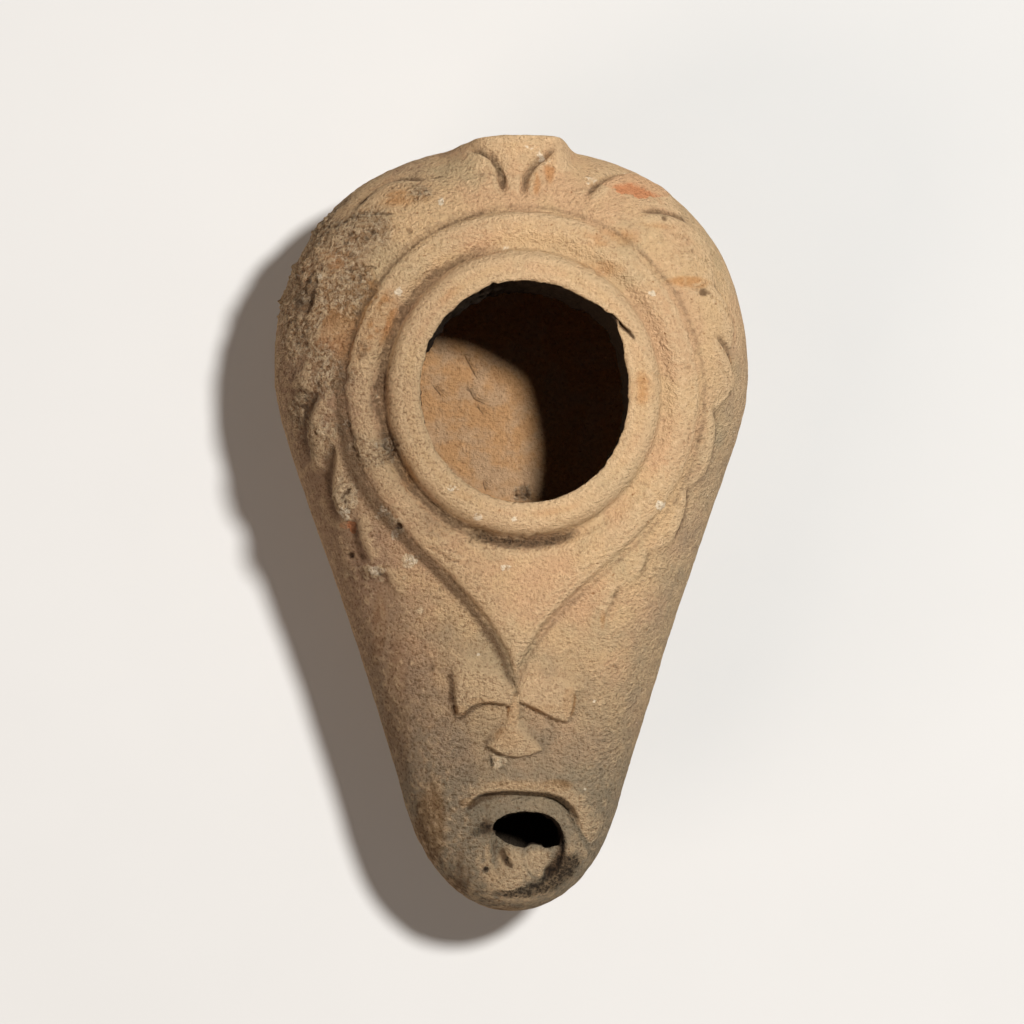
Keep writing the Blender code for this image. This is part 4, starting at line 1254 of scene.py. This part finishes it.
def crack_depth(plan):
    deepest = np.zeros(len(plan))
    for pixels, width, depth in CRACKS:
        distance, share, _ = path_distance(plan, on_clay(pixels, MARK_STAND))
        taper = faded_ends(1.0, share, 4.0, 0.3)
        deepest = np.maximum(deepest, depth * taper * bump_at(distance, width))
    return deepest


def along(plan, pixels, width):
    """1 along a path of pixels, fading over this width and towards both ends."""
    distance, share, _ = path_distance(plan, curve_through(on_clay(pixels, MARK_STAND)))
    return faded_ends(bump_at(distance, width), share, 5.0)


def grit_amount(plan):
    """1 in the groove in front of the band, fading towards both ends."""
    (left_end, _), (right_end, _) = on_clay(GRITTY_ENDS, MARK_STAND)
    share = (plan[:, 0] - left_end) / (right_end - left_end)
    out = out_from_hole(plan) - RIM_WIDTH - GROOVE_PLACE
    in_front = smooth((HOLE_CENTRE[1] - plan[:, 1]) / 6.0)
    return faded_ends(bump_at(out, GRITTY_WIDTH) * in_front, share, 4.0)


def crust_amount(plan, places):
    """How much earth has settled: 0 on bare clay, 1 where it hides the clay."""
    amount = patches(plan, CRUSTED)
    broken = layered_noise(places, *CRUST_EDGE)
    return smooth(amount * 1.25 + 0.45 * broken * (amount > 0.02) - 0.2)


def weathering(plan, places):
    """Rise of the weathered skin over the carved one."""
    slow_dents = SLOW_DENT_RISE * soft_noise(places, *SLOW_DENTS)
    dents = slow_dents + DENT_RISE * layered_noise(places, *DENTS)
    grains = GRAIN_RISE * layered_noise(places, *GRAINS) * (0.8 + 0.6 * towards_left(plan))
    thick = smooth(0.5 + 0.9 * layered_noise(places, *CRUST_THICKNESS))
    crumbled = (THIN_CRUMBS + THICK_CRUMBS * thick) * crumbs(places, *CRUST_CRUMBS)
    crumbled = crumbled + THICK_RISE * thick
    earth = crumbled + CRUST_GRAIN_RISE * layered_noise(places, *CRUST_GRAIN) - CRUST_SINK
    earth = crust_amount(plan, places) * earth
    lumpy = PLAIN_DEPOSIT + CRUMBLY_DEPOSIT * crumbs(places, *DEPOSIT_CRUMBS)
    lumps = spots(plan, DEPOSITS) * lumpy
    holes = PIT_SHARE * spots(plan, PITS) + crack_depth(plan)
    grit = grit_amount(plan) * (GRIT_RISE * crumbs(places, *GRIT_CRUMBS) - GRIT_SINK)
    return dents + grains + earth + lumps + grit - holes


print("of the seam,", round(float((crust_amount(OUTLINE, level_places(OUTLINE)) > 0.5).mean()), 2),
      "lies under crust")

# %% [markdown]
# The worn parts are then moved, the carved top by everything above, and the rest by gentler noise
# and the marks on the floor. The foot stays level.

# %% Wear the clay down
HIDDEN_DENTS, WALL_DENTS = (2.2, 3, 21), (1.1, 3, 24)
HIDDEN_SLOW_RISE, HIDDEN_RISE, WALL_RISE = 0.1, 0.05, 0.32
FLOOR_CRUST_EDGE, FLOOR_CRUMBS = (0.9, 2, 62), (0.6, 23)
FLOOR_CRUST_RISE, FLOOR_CRUMB_RISE, FLOOR_CRACK_DEPTH = 0.2, 1.5, 0.3
FOOT_LEVEL = 0.2


def mask_of(places):
    """1 at these points of the skin and 0 at all others."""
    mask = np.zeros(len(skin.points))
    mask[places] = 1.0
    return mask


def floor_marks_at(places):
    """How much of the crust and of the cracks on the reservoir's floor lies at each point."""
    plan = places[:, :2]
    gap = np.linalg.norm(plan - FLOOR_CRUST, axis=1) / FLOOR_CRUST_RADIUS
    crust = smooth(1.5 - gap - 0.35 * layered_noise(places, *FLOOR_CRUST_EDGE))
    nearest = np.minimum.reduce([path_distance(plan, line)[0] for line in FLOOR_CRACKS])
    crack = bump_at(nearest, 0.6 * FLOOR_SPACING)
    return np.array([crust, crack]) * mask_of(slice(floor_first, None))


skin.points[upper] += skin.normals()[upper] * weathering(upper_plan, skin.points[upper])[:, None]

rest = np.arange(len(upper), len(skin.points))
rest_places = skin.points[rest]
rest_rise = HIDDEN_SLOW_RISE * soft_noise(rest_places, *SLOW_DENTS)
rest_rise += HIDDEN_RISE * layered_noise(rest_places, *HIDDEN_DENTS)
wall_rise = WALL_RISE * layered_noise(skin.points[hole_walls], *WALL_DENTS)
rest_rise[hole_walls - len(upper)] += wall_rise
rest_crust, rest_crack = floor_marks_at(skin.points)[:, rest]
floor_crumbs = FLOOR_CRUST_RISE + FLOOR_CRUMB_RISE * crumbs(rest_places, *FLOOR_CRUMBS)
rest_rise += rest_crust * floor_crumbs - FLOOR_CRACK_DEPTH * rest_crack
level = rest_places[:, 2] < FOOT_LEVEL
skin.points[rest] += skin.normals()[rest] * np.where(level, 0.0, rest_rise)[:, None]
skin.points = np.clip(skin.points, lamp_low, lamp_high)
print("the skin is", np.ptp(skin.points, axis=0).round(2), "mm overall")

# %% [markdown]
# ## Where dirt, soot, fire colour and painted shade lie
#
# Colour follows the form. Dirt stays in hollows, edges are rubbed pale, the left shoulder is
# brown with earth, soot blackens the nozzle, and the kiln left orange patches. Shade is painted
# too: the hollows and the left side are darkened where the shade falls, the nozzle where the
# light falls off, the hole walls and the nozzle's channel are blackened, and the lower left edge
# is tinted red. Painting these by hand would tie them to one unwrapped map. Here each is a number
# stored at every point of the mesh, which the material reads and breaks up with fine noise.

# %% List the patches of colour
# Each patch's pixel, half width, half length and strength
RUST_PATCHES = (
    (611, 182, 1.5, 1.0, 0.75), (627, 182, 2.2, 1.7, 1.0), (640, 187, 1.6, 1.6, 1.0),
    (655, 189, 2.2, 1.2, 1.0), (344, 525, 1.1, 0.5, 1.0), (349, 530, 0.5, 0.6, 0.9),
)
# Orange fire colour, and a painted reddish shade along the nozzle's lower left edge and its front wall,
# where the flank turns away from the light
WARM_AND_SHADE_PATCHES = (
    (378, 315, 2.4, 3.4, 1.1), (366, 335, 1.4, 2.6, 0.9), (345, 330, 3.0, 5.0, 0.8),
    (328, 300, 4.0, 4.5, 0.8), (330, 345, 3.2, 3.2, 0.7), (325, 262, 3.6, 2.6, 0.8),
    (360, 285, 2.2, 3.0, 0.8), (400, 193, 4.0, 1.6, 0.7), (640, 390, 1.8, 2.2, 1.0),
    (610, 238, 4.0, 1.4, 0.6), (600, 268, 4.0, 1.2, 0.5), (690, 281, 2.6, 0.8, 0.9),
    (455, 300, 2.4, 2.0, 0.5), (410, 470, 1.2, 3.0, 0.6), (480, 497, 4.0, 1.2, 0.5),
    (560, 515, 5.0, 1.2, 0.5), (549, 160, 0.8, 2.6, 0.9), (536, 178, 0.6, 1.6, 0.8),
    (569, 702, 0.9, 2.0, 1.1), (460, 710, 0.9, 0.8, 1.0), (480, 700, 2.0, 0.5, 0.7),
    (545, 708, 2.4, 0.7, 0.7), (513, 712, 0.7, 2.0, 1.1), (508, 738, 1.8, 1.4, 0.9),
    (556, 786, 2.2, 0.8, 1.0), (515, 785, 4.0, 0.6, 0.7), (468, 803, 1.2, 0.6, 0.9),
    (505, 858, 1.0, 1.4, 0.6), (495, 878, 1.2, 1.0, 0.6), (388, 700, 1.4, 9.0, 0.5),
    (372, 628, 1.0, 5.0, 0.5), (425, 830, 1.8, 6.0, 1.0), (450, 885, 3.0, 2.0, 1.0),
    (500, 906, 6.0, 0.9, 1.0), (398, 745, 1.2, 6.0, 0.5), (604, 619, 0.4, 1.4, 0.8),
    (672, 225, 5.0, 0.6, 0.5), (722, 250, 0.8, 3.0, 0.4), (735, 372, 0.5, 2.2, 0.8),
    (730, 312, 0.6, 2.0, 0.6),
)
# Grime, and painted shade in the shaded grooves and trough left of the band and the platform
GRIME_AND_SHADE_PATCHES = (
    (380, 395, 0.9, 4.0, 0.4), (350, 385, 0.6, 6.0, 0.35), (300, 297, 1.6, 2.2, 0.7),
    (437, 522, 2.6, 2.2, 0.4), (488, 827, 0.9, 1.2, 0.8), (456, 868, 0.6, 3.0, 0.6),
    (462, 880, 0.8, 1.6, 0.5), (430, 668, 0.5, 0.8, 0.6), (566, 870, 2.4, 1.8, 0.4),
    (362, 350, 0.8, 1.4, 0.55), (374, 398, 0.6, 2.4, 0.5),
)
# Soot round the wick, painted shade on the wick hole's shadowed right wall and at its left corner, and
# black in a few pits
SOOT_AND_SHADE_PATCHES = (
    (574, 864, 1.5, 1.1, 0.95), (568, 872, 1.5, 1.3, 1.0), (560, 880, 1.5, 1.3, 0.95),
    (552, 888, 1.5, 1.0, 0.95), (540, 893, 1.7, 0.7, 0.95), (525, 898, 1.9, 0.6, 0.95),
    (512, 899, 1.5, 0.5, 0.9), (498, 897, 1.2, 0.4, 0.75), (485, 829, 1.1, 0.9, 0.85),
    (476, 833, 0.9, 0.6, 0.75), (565, 848, 0.5, 2.0, 1.2), (562, 866, 0.5, 1.0, 1.1),
    (484, 872, 0.4, 0.4, 0.9), (508, 860, 0.3, 0.8, 0.75), (583, 858, 0.8, 0.8, 0.5),
    (492, 763, 0.25, 0.6, 0.9), (398, 526, 0.35, 0.4, 0.8), (344, 557, 0.25, 0.4, 0.8),
)
PALE_PATCHES = (
    (440, 198, 0.5, 0.6, 1.0), (398, 292, 0.6, 0.6, 0.9), (651, 294, 0.55, 0.4, 1.1),
    (660, 505, 1.0, 0.7, 0.9), (345, 513, 0.8, 1.0, 0.8), (382, 511, 0.8, 0.7, 0.8),
    (394, 534, 0.6, 0.9, 0.8), (410, 560, 1.0, 0.8, 0.7), (372, 571, 1.2, 0.7, 0.7),
    (592, 176, 1.2, 1.2, 0.55), (526, 145, 0.9, 0.5, 0.7), (539, 150, 0.7, 0.5, 0.8),
    (317, 275, 0.4, 0.4, 0.9), (306, 279, 0.3, 0.4, 0.9), (298, 297, 0.8, 1.4, 0.6),
    (345, 424, 0.5, 0.7, 0.8), (385, 445, 1.6, 1.8, 0.5), (630, 168, 0.9, 0.4, 0.8),
    (500, 760, 0.6, 0.6, 0.45), (545, 157, 0.8, 1.2, 0.5), (450, 490, 0.9, 0.6, 0.7),
    (476, 518, 0.8, 0.5, 0.8), (512, 520, 0.5, 0.4, 0.9), (456, 287, 0.7, 0.5, 0.5),
    (596, 702, 0.3, 0.3, 0.9), (478, 655, 0.3, 0.3, 0.8), (505, 567, 0.9, 0.5, 0.8),
    (587, 790, 0.3, 0.3, 0.8), (505, 248, 0.8, 0.5, 0.6), (600, 272, 0.9, 0.4, 0.6),
)
# Places rubbed or rinsed pale
RUBBED_PATCHES = (
    (512, 872, 2.2, 3.0, 0.8), (540, 862, 2.0, 1.6, 0.8), (430, 560, 3.0, 3.0, 0.3),
    (346, 452, 2.8, 6.0, 0.5),
)
# The crest of the brow as it is seen, a few pixels behind its crease
BROW_BACK = 9
BROW_TOP = tuple((across, down - BROW_BACK) for across, down in BROW)
print("orange clay shows first at", on_clay(RUST_PATCHES[0][:2], MARK_STAND)[0].round(1), "mm")

# %% Find the hollows and the edges
# How wide the painted shade at the platform's foot is, the thin line of dirt in its crease, and the
# painted shade in the band's groove
EDGE_SHADE_WIDTH = 0.8
EDGE_LINE_WIDTH = 0.4
BAND_FOOT_WIDTH = 0.75
FINE_ROUNDS, BROAD_ROUNDS = 4, 30


def platform_edge_dirt(plan):
    """How much shade is painted at the foot of the platform's edge, most of it on the shaded left,
    with a thin line of dirt in its crease all round.
    """
    into = loop_distance(plan, PLATFORM)
    near = bump_at(into + 0.5 * PLATFORM_EDGE, EDGE_SHADE_WIDTH)
    in_front = smooth(0.5 + (HOLE_CENTRE[1] + 2.0 - plan[:, 1]) / 20.0)
    line = bump_at(into + 0.6 * PLATFORM_EDGE, EDGE_LINE_WIDTH)
    near = near * (0.1 + 0.95 * left_of_middle(plan)) * (0.35 + 0.65 * in_front)
    return np.maximum(near, 0.54 * line)


def band_foot_dirt(plan):
    """How much shade is painted in the groove at the band's foot, on the left side, which kept its
    groove and lies in the shade.
    """
    out = out_from_hole(plan) - RIM_WIDTH - 0.4 * GROOVE_WIDTH
    in_front = smooth(0.5 + (HOLE_CENTRE[1] - plan[:, 1]) / 16.0)
    return bump_at(out, BAND_FOOT_WIDTH) * left_of_middle(plan) * (0.25 + 0.4 * in_front)


def smoothed(points, faces, rounds):
    """The points after several rounds of moving each to the middle of its neighbours."""
    ends = np.concatenate([faces[:, [0, 1]], faces[:, [1, 2]], faces[:, [2, 0]]])
    count = np.bincount(ends.ravel(), minlength=len(points))[:, None]
    for _ in range(rounds):
        total = np.zeros_like(points)
        for k in range(3):
            total[:, k] += np.bincount(ends[:, 0], points[ends[:, 1], k], len(points))
            total[:, k] += np.bincount(ends[:, 1], points[ends[:, 0], k], len(points))
        points = total / count
    return points


def hollowness(skin, rounds):
    """How far each point lies below its smoothed surroundings, in millimetres."""
    risen = smoothed(skin.points, skin.faces, rounds) - skin.points
    return (risen * skin.normals()).sum(axis=1)


fine_hollow = hollowness(skin, FINE_ROUNDS)
broad_hollow = hollowness(skin, BROAD_ROUNDS)
print("the deepest hollow lies", round(float(fine_hollow.max()), 2), "mm below its surroundings")

# %% Say where on the lamp each point lies
BACK_FADE = 18.0
CHANNEL_START, CHANNEL_FADE = 3.0, 6.0
FLANK_WIDTH = 7.0
WICK_EDGE_WIDTH = 1.6

plan = np.vstack([upper_plan, skin.points[len(upper_plan):, :2]])
y = plan[:, 1]
on_top = mask_of(upper)
inner = mask_of(slice(outside_count, None))
outer = 1.0 - inner
on_hole_wall = mask_of(hole_walls)
left = towards_left(plan)
tip = towards_tip(y)
at_back = smooth((y - HOLE_CENTRE[1]) / BACK_FADE)
in_channel = smooth((HOLE_FRONT_Y - CHANNEL_START - y) / CHANNEL_FADE)
near_outline = smooth(1.3 - loop_distance(plan, OUTLINE) / FLANK_WIDTH)
right_flank = near_outline * (1.0 - left_of_middle(plan)) * (1.0 - at_back)
round_wick = bump_at(loop_distance(plan, on_clay(WICK_OPENING, WICK_STAND)), WICK_EDGE_WIDTH)
# How strongly the hollows are darkened, with dirt and with painted shade: most on the shaded left side,
# and more towards the tip
grime_and_shade = (0.05 + 0.95 * smooth(left / 0.3)) * outer
grime_and_shade = np.maximum(grime_and_shade, 0.5 * towards_tip(y + 8.0) * outer)
print(f"{100 * inner.mean():.0f}% of the points lie inside the lamp")

# %% Reckon a value for each colour
# How much the fine and broad hollows are darkened with dirt and painted shade, and the most
FINE_HOLLOW_DARKENING, BROAD_HOLLOW_DARKENING, MOST_HOLLOW_DARKENING = 7.0, 0.8, 0.8
CRACK_DIRT, PIT_DIRT = 1.4, 1.8
CREASE_DIRT, LEFT_CREASE_LOSS, MOST_CREASE_DIRT = 2.2, 1.1, 0.75
LUG_DIRT = 0.85 / LUG_GROOVE_DEPTH
FLOOR_CRUST_DIRT = 0.75
FINE_RUB, BROAD_RUB = 7.0, 1.5

top_crust = crust_amount(plan, skin.points) * on_top
floor_crust, floor_crack = floor_marks_at(skin.points)
grit = grit_amount(plan)
crease_dirt = CREASE_DIRT - LEFT_CREASE_LOSS * left_of_middle(plan)


def strongest(*amounts):
    return np.maximum.reduce(amounts)


def top_patches(rows):
    return patches(plan, rows) * on_top


colour_values = {
    "crust": np.maximum(top_crust, floor_crust),
    "deposit": np.clip(spots(plan, DEPOSITS) * 2.2, 0.0, 1.0) * on_top,
    # Dirt in hollows, grit, cracks, pits, creases and the lug's grooves, and painted shade: in the
    # hollows of the shaded left, at the foot of the platform and of the band, and over the hole walls
    "dirt": strongest(
        np.clip(FINE_HOLLOW_DARKENING * fine_hollow + BROAD_HOLLOW_DARKENING * broad_hollow, 0.0, MOST_HOLLOW_DARKENING) * grime_and_shade,
        strongest(
            grit, platform_edge_dirt(plan), band_foot_dirt(plan), patches(plan, GRIME_AND_SHADE_PATCHES),
            CRACK_DIRT * crack_depth(plan), PIT_DIRT * spots(plan, PITS),
            np.minimum(crease_dirt * tongue_creases(plan)[0], MOST_CREASE_DIRT),
            -LUG_DIRT * lug_grooves(plan)) * on_top,
        on_hole_wall, floor_crack, FLOOR_CRUST_DIRT * floor_crust),
    "rubbed": strongest(
        np.clip(-FINE_RUB * fine_hollow - BROAD_RUB * broad_hollow, 0.0, 1.0)
        * outer * (1.0 - round_wick),
        0.8 * smooth(cross(plan)) * on_top, 0.6 * along(plan, BROW_TOP, 0.6) * on_top,
        top_patches(RUBBED_PATCHES)),
    "rust": top_patches(RUST_PATCHES),
    # Fire colour, and painted reddish shade along the lower left edge
    "warm": top_patches(WARM_AND_SHADE_PATCHES),
    # A greyer stain, and painted shade where the light falls off, towards the nozzle's tip and along the
    # right flank
    "stained": np.maximum(tip, 0.55 * right_flank),
    # Painted shade: brown darkening that grows towards the left edge, away from the light, and on the
    # nozzle's left flank
    "browned": np.maximum(
        smooth((left - 0.35) / 0.6) * (1.0 - 0.7 * at_back),
        towards_tip(y - 6.0) * smooth((left - 0.2) / 0.3)),
    # Soot round the wick and in the grit, a painted shadow along the brow's crease, and painted shade
    # blackening the hole walls and the inside of the nozzle's channel
    "soot": strongest(
        top_patches(SOOT_AND_SHADE_PATCHES), 0.7 * along(plan, BROW, 0.4) * on_top, 0.6 * grit**2 * on_top,
        1.5 * in_channel * inner, 1.3 * on_hole_wall),
    "rough": (0.1 + 0.85 * left * (1.0 - 0.5 * at_back) + 0.45 * tip) * (1.0 - 0.6 * inner)
    + 0.9 * top_crust,
    "pale": top_patches(PALE_PATCHES),
    "inner": inner,
}
for name, values in colour_values.items():
    print(f"{name} covers {100 * (values > 0.5).mean():.1f}% of the points")

# %% [markdown]
# ## Fired clay
#
# Unglazed clay is matt. Its colour drifts from buff to pinkish brown over a few millimetres and
# is speckled with grit at a tenth of a millimetre. An image would hold one view of it; noise
# nodes give it everywhere, and the stored values say where each kind of stain and of painted
# shade lies. Bump makes only the finest grain, because everything larger is real shape.

# %% Write helpers for material nodes


class Nodes:
    """A new material, and short calls that add nodes to it and return their output sockets."""

    def __init__(self, name):
        self.material = bpy.data.materials.new(name)
        self.material.use_nodes = True
        self.tree = self.material.node_tree
        self.shader = self.tree.nodes["Principled BSDF"]
        self.where = self.add("ShaderNodeNewGeometry").outputs["Position"]

    def add(self, kind, **settings):
        node = self.tree.nodes.new(kind)
        for name, value in settings.items():
            setattr(node, name, value)
        return node

    def link(self, source, socket):
        """Feeds a socket from another one, or sets it to a number or a colour."""
        if isinstance(source, bpy.types.NodeSocket):
            self.tree.links.new(source, socket)
        elif isinstance(source, tuple):
            socket.default_value = (*source, 1.0)
        else:
            socket.default_value = source

    def noise(self, size, detail=3.0, roughness=0.6):
        """Noise whose features are about this many millimetres across."""
        node = self.add("ShaderNodeTexNoise")
        self.link(self.where, node.inputs["Vector"])
        node.inputs["Scale"].default_value = 1.0 / (size * MM)
        node.inputs["Detail"].default_value = detail
        node.inputs["Roughness"].default_value = roughness
        return node.outputs["Fac"]

    def value(self, name):
        return self.add("ShaderNodeAttribute", attribute_name=name).outputs["Fac"]

    def math(self, operation, first, second=0.0, clamp=False):
        node = self.add("ShaderNodeMath", operation=operation, use_clamp=clamp)
        self.link(first, node.inputs[0])
        self.link(second, node.inputs[1])
        return node.outputs[0]

    def between(self, source, low, high):
        """0 below the low value and 1 above the high one, with a soft climb between."""
        node = self.add("ShaderNodeMapRange", interpolation_type="SMOOTHSTEP")
        self.link(source, node.inputs["Value"])
        node.inputs["From Min"].default_value = low
        node.inputs["From Max"].default_value = high
        return node.outputs["Result"]

    def mix(self, share, under, over, blend="MIX"):
        node = self.add("ShaderNodeMix", data_type="RGBA", blend_type=blend)
        self.link(share, node.inputs["Factor"])
        self.link(under, node.inputs["A"])
        self.link(over, node.inputs["B"])
        return node.outputs["Result"]


print("the helpers add", ", ".join(name for name in vars(Nodes) if not name.startswith("_")))

# %% Mix the clay material
BUFF = (0.62, 0.41, 0.218)
PINKISH = (0.59, 0.366, 0.2)
GREYISH = (0.52, 0.372, 0.208)
STAIN_AND_SHADE = (0.262, 0.21, 0.139)
PAINTED_LEFT_SHADE = (0.305, 0.187, 0.119)
INNER_CLAY = (0.47, 0.255, 0.112)
INNER_GREY = (0.45, 0.28, 0.152)
RUST = (0.56, 0.215, 0.09)
WARM = (0.84, 0.64, 0.46)
EARTH = (0.34, 0.203, 0.104)
EARTH_PALE = (0.68, 0.53, 0.345)
DIRT_AND_SHADE = (0.112, 0.062, 0.032)
RUBBED = (0.62, 0.43, 0.245)
SOOT_AND_SHADE = (0.022, 0.015, 0.01)
LIME = (0.78, 0.65, 0.47)
PIT_SHADE = (0.6, 0.54, 0.5)
GRAIN_SHADE = (1.25, 1.27, 1.3)
SPECK_SHADE = (0.62, 0.52, 0.44)
SMOOTH_GRAIN_HEIGHT = 0.6
ROUGH_GRAIN_HEIGHT = 2.1
LEAST_ROUGHNESS, ROUGHNESS_SPREAD = 0.82, 0.15
MATT_SPECULAR = 0.08


def fired_clay():
    nodes = Nodes("fired_clay")
    shader = nodes.shader
    grain = nodes.noise(0.42, 4.0, 0.62)
    speckle = nodes.noise(0.75, 5.0, 0.72)
    specks = nodes.noise(0.6, 1.0, 0.5)
    drift = nodes.noise(3.2, 4.0, 0.6)

    def spread(name, noise, low, high, strength, broken_by=1.0):
        """A stored value, broken up by a noise and cut off softly."""
        broken = nodes.math("MULTIPLY", nodes.math("SUBTRACT", noise, 0.5), broken_by)
        share = nodes.math("ADD", nodes.value(name), broken)
        return nodes.math("MULTIPLY", nodes.between(share, low, high), strength)

    colour = nodes.mix(nodes.between(nodes.noise(9.0, 4.0), 0.4, 0.62), BUFF, PINKISH)
    colour = nodes.mix(nodes.between(nodes.noise(14.0, 4.0), 0.5, 0.68), colour, GREYISH)
    inner_clay = nodes.mix(nodes.between(nodes.noise(5.0, 4.0), 0.42, 0.62), INNER_CLAY, INNER_GREY)
    colour = nodes.mix(nodes.value("inner"), colour, inner_clay)
    # Painted shade on the left side
    colour = nodes.mix(spread("browned", drift, 0.0, 1.1, 0.75), colour, PAINTED_LEFT_SHADE)
    # A greyer stain, and painted fall-off of the light towards the tip and the right flank
    colour = nodes.mix(spread("stained", drift, 0.0, 1.1, 1.0, 0.6), colour, STAIN_AND_SHADE)
    # Fire colour, and painted reddish shade along the lower left edge
    colour = nodes.mix(spread("warm", drift, 0.15, 1.0, 0.9), colour, WARM, "MULTIPLY")
    colour = nodes.mix(spread("rust", speckle, 0.5, 0.62, 0.85), colour, RUST)
    earth = nodes.mix(nodes.between(speckle, 0.42, 0.62), EARTH, EARTH_PALE)
    colour = nodes.mix(spread("crust", speckle, 0.15, 0.9, 0.75), colour, earth)
    colour = nodes.mix(spread("deposit", speckle, 0.35, 0.8, 0.7), colour, EARTH_PALE)
    colour = nodes.mix(spread("rubbed", speckle, 0.1, 0.9, 0.65), colour, RUBBED)
    colour = nodes.mix(spread("pale", grain, 0.55, 0.85, 0.75, 1.8), colour, LIME)
    rougher = nodes.math("ADD", nodes.value("rough"), 0.5)
    pitted = nodes.math("MULTIPLY", nodes.between(grain, 0.52, 0.3), rougher)
    colour = nodes.mix(nodes.math("MINIMUM", pitted, 1.0), colour, PIT_SHADE, "MULTIPLY")
    colour = nodes.mix(nodes.between(speckle, 0.5, 0.72), colour, GRAIN_SHADE, "MULTIPLY")
    colour = nodes.mix(nodes.between(specks, 0.72, 0.8), colour, SPECK_SHADE, "MULTIPLY")
    # Dirt, and painted shade in hollows, at the foot of edges and on the hole walls
    colour = nodes.mix(spread("dirt", speckle, 0.12, 1.05, 0.85, 1.5), colour, DIRT_AND_SHADE)
    # Soot, and painted shade on the hole walls, in the nozzle's channel and along the brow's crease
    colour = nodes.mix(spread("soot", grain, 0.25, 1.15, 0.95, 2.0), colour, SOOT_AND_SHADE)
    nodes.link(colour, shader.inputs["Base Color"])
    grain_gloss = nodes.math("MULTIPLY", grain, ROUGHNESS_SPREAD)
    nodes.link(nodes.math("ADD", grain_gloss, LEAST_ROUGHNESS), shader.inputs["Roughness"])
    shader.inputs["Specular IOR Level"].default_value = MATT_SPECULAR
    bump = nodes.add("ShaderNodeBump")
    more_height = (ROUGH_GRAIN_HEIGHT - SMOOTH_GRAIN_HEIGHT) * MM
    added_height = nodes.math("MULTIPLY", nodes.value("rough"), more_height)
    nodes.link(nodes.math("ADD", added_height, SMOOTH_GRAIN_HEIGHT * MM), bump.inputs["Distance"])
    speckled = nodes.math("MULTIPLY", speckle, 0.6)
    nodes.link(nodes.math("ADD", grain, speckled), bump.inputs["Height"])
    nodes.link(bump.outputs["Normal"], shader.inputs["Normal"])
    return nodes.material


clay = fired_clay()
print("the clay material has", len(clay.node_tree.nodes), "nodes")

# %% [markdown]
# ## The piece itself
#
# The skin becomes one mesh object that stands for the packed solid. Smooth shading is enough,
# since the triangles are far smaller than any edge on the lamp.

# %% Make the lamp


def lamp_piece(skin, values, material):
    mesh = bpy.data.meshes.new("lamp_skin")
    mesh.from_pydata((skin.points * MM).tolist(), [], skin.faces.tolist())
    for name, numbers in values.items():
        attribute = mesh.attributes.new(name, "FLOAT", "POINT")
        attribute.data.foreach_set("value", numbers.astype(np.float32))
    mesh.shade_smooth()
    mesh.materials.append(material)
    return put_in_scene("lamp_skin", mesh)


lamp = lamp_piece(skin, colour_values, clay)
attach(lamp, "root")
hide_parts("lamp_body")
print("the lamp has", len(lamp.data.polygons), "triangles")

# %% [markdown]
# ## Floor and light
#
# The lamp stands on a pale studio table. One small light from the upper right models the relief,
# as the shadow inside the reservoir shows. A broad, warm and weak one opens the shadow on the
# lower left, where the photo shows a reddish flank, and the room gives a little more.

# %% Set the table and the lights
FLOOR_SIDE = 3.0
FLOOR_COLOUR = (0.54, 0.53, 0.51)
FLOOR_PATCH = 40.0
FLOOR_ROUGHNESS = 0.8
WORN_SHADE = 0.95
KEY_DIRECTION = (0.32, 0.19, 1.0)
KEY_DISTANCE = 1.0
KEY_SIDE = 0.12
KEY_POWER = 14.6
FILL_DIRECTION = (-0.9, -0.6, 0.5)
FILL_SIDE = 0.6
FILL_POWER = 5.2
FILL_COLOUR = (1.0, 0.82, 0.7)
ROOM_COLOUR = (1.0, 0.97, 0.94, 1.0)
ROOM_STRENGTH = 0.085


def floor_material():
    nodes = Nodes("pale_table")
    worn = tuple(WORN_SHADE * part for part in FLOOR_COLOUR)
    patchy = nodes.mix(nodes.noise(FLOOR_PATCH, 3.0), FLOOR_COLOUR, worn)
    nodes.link(patchy, nodes.shader.inputs["Base Color"])
    nodes.shader.inputs["Roughness"].default_value = FLOOR_ROUGHNESS
    return nodes.material


floor_mesh = bpy.data.meshes.new("table")
half_floor = FLOOR_SIDE / 2
corners = [(-half_floor, -half_floor, 0.0), (half_floor, -half_floor, 0.0),
           (half_floor, half_floor, 0.0), (-half_floor, half_floor, 0.0)]
floor_mesh.from_pydata(corners, [], [(0, 1, 2, 3)])
floor_mesh.materials.append(floor_material())
table = put_in_scene("table", floor_mesh)


def area_light(name, direction, distance, side, power):
    light = bpy.data.lights.new(name, "AREA")
    light.shape = "DISK"
    light.size = side
    light.energy = power
    stand = put_in_scene(name, light)
    stand.location = Vector(direction).normalized() * distance
    stand.rotation_euler = Vector(direction).to_track_quat("Z", "Y").to_euler()
    return stand


area_light("key_light", KEY_DIRECTION, KEY_DISTANCE, KEY_SIDE, KEY_POWER)
fill_light = area_light("fill_light", FILL_DIRECTION, KEY_DISTANCE, FILL_SIDE, FILL_POWER)
fill_light.data.color = FILL_COLOUR
room = bpy.data.worlds.new("room")
room.use_nodes = True
background = room.node_tree.nodes["Background"]
background.inputs["Color"].default_value = ROOM_COLOUR
background.inputs["Strength"].default_value = ROOM_STRENGTH
bpy.context.scene.world = room
bpy.context.scene.view_settings.view_transform = "Standard"
print("the key light is", round(math.degrees(KEY_SIDE / KEY_DISTANCE), 1), "degrees wide")
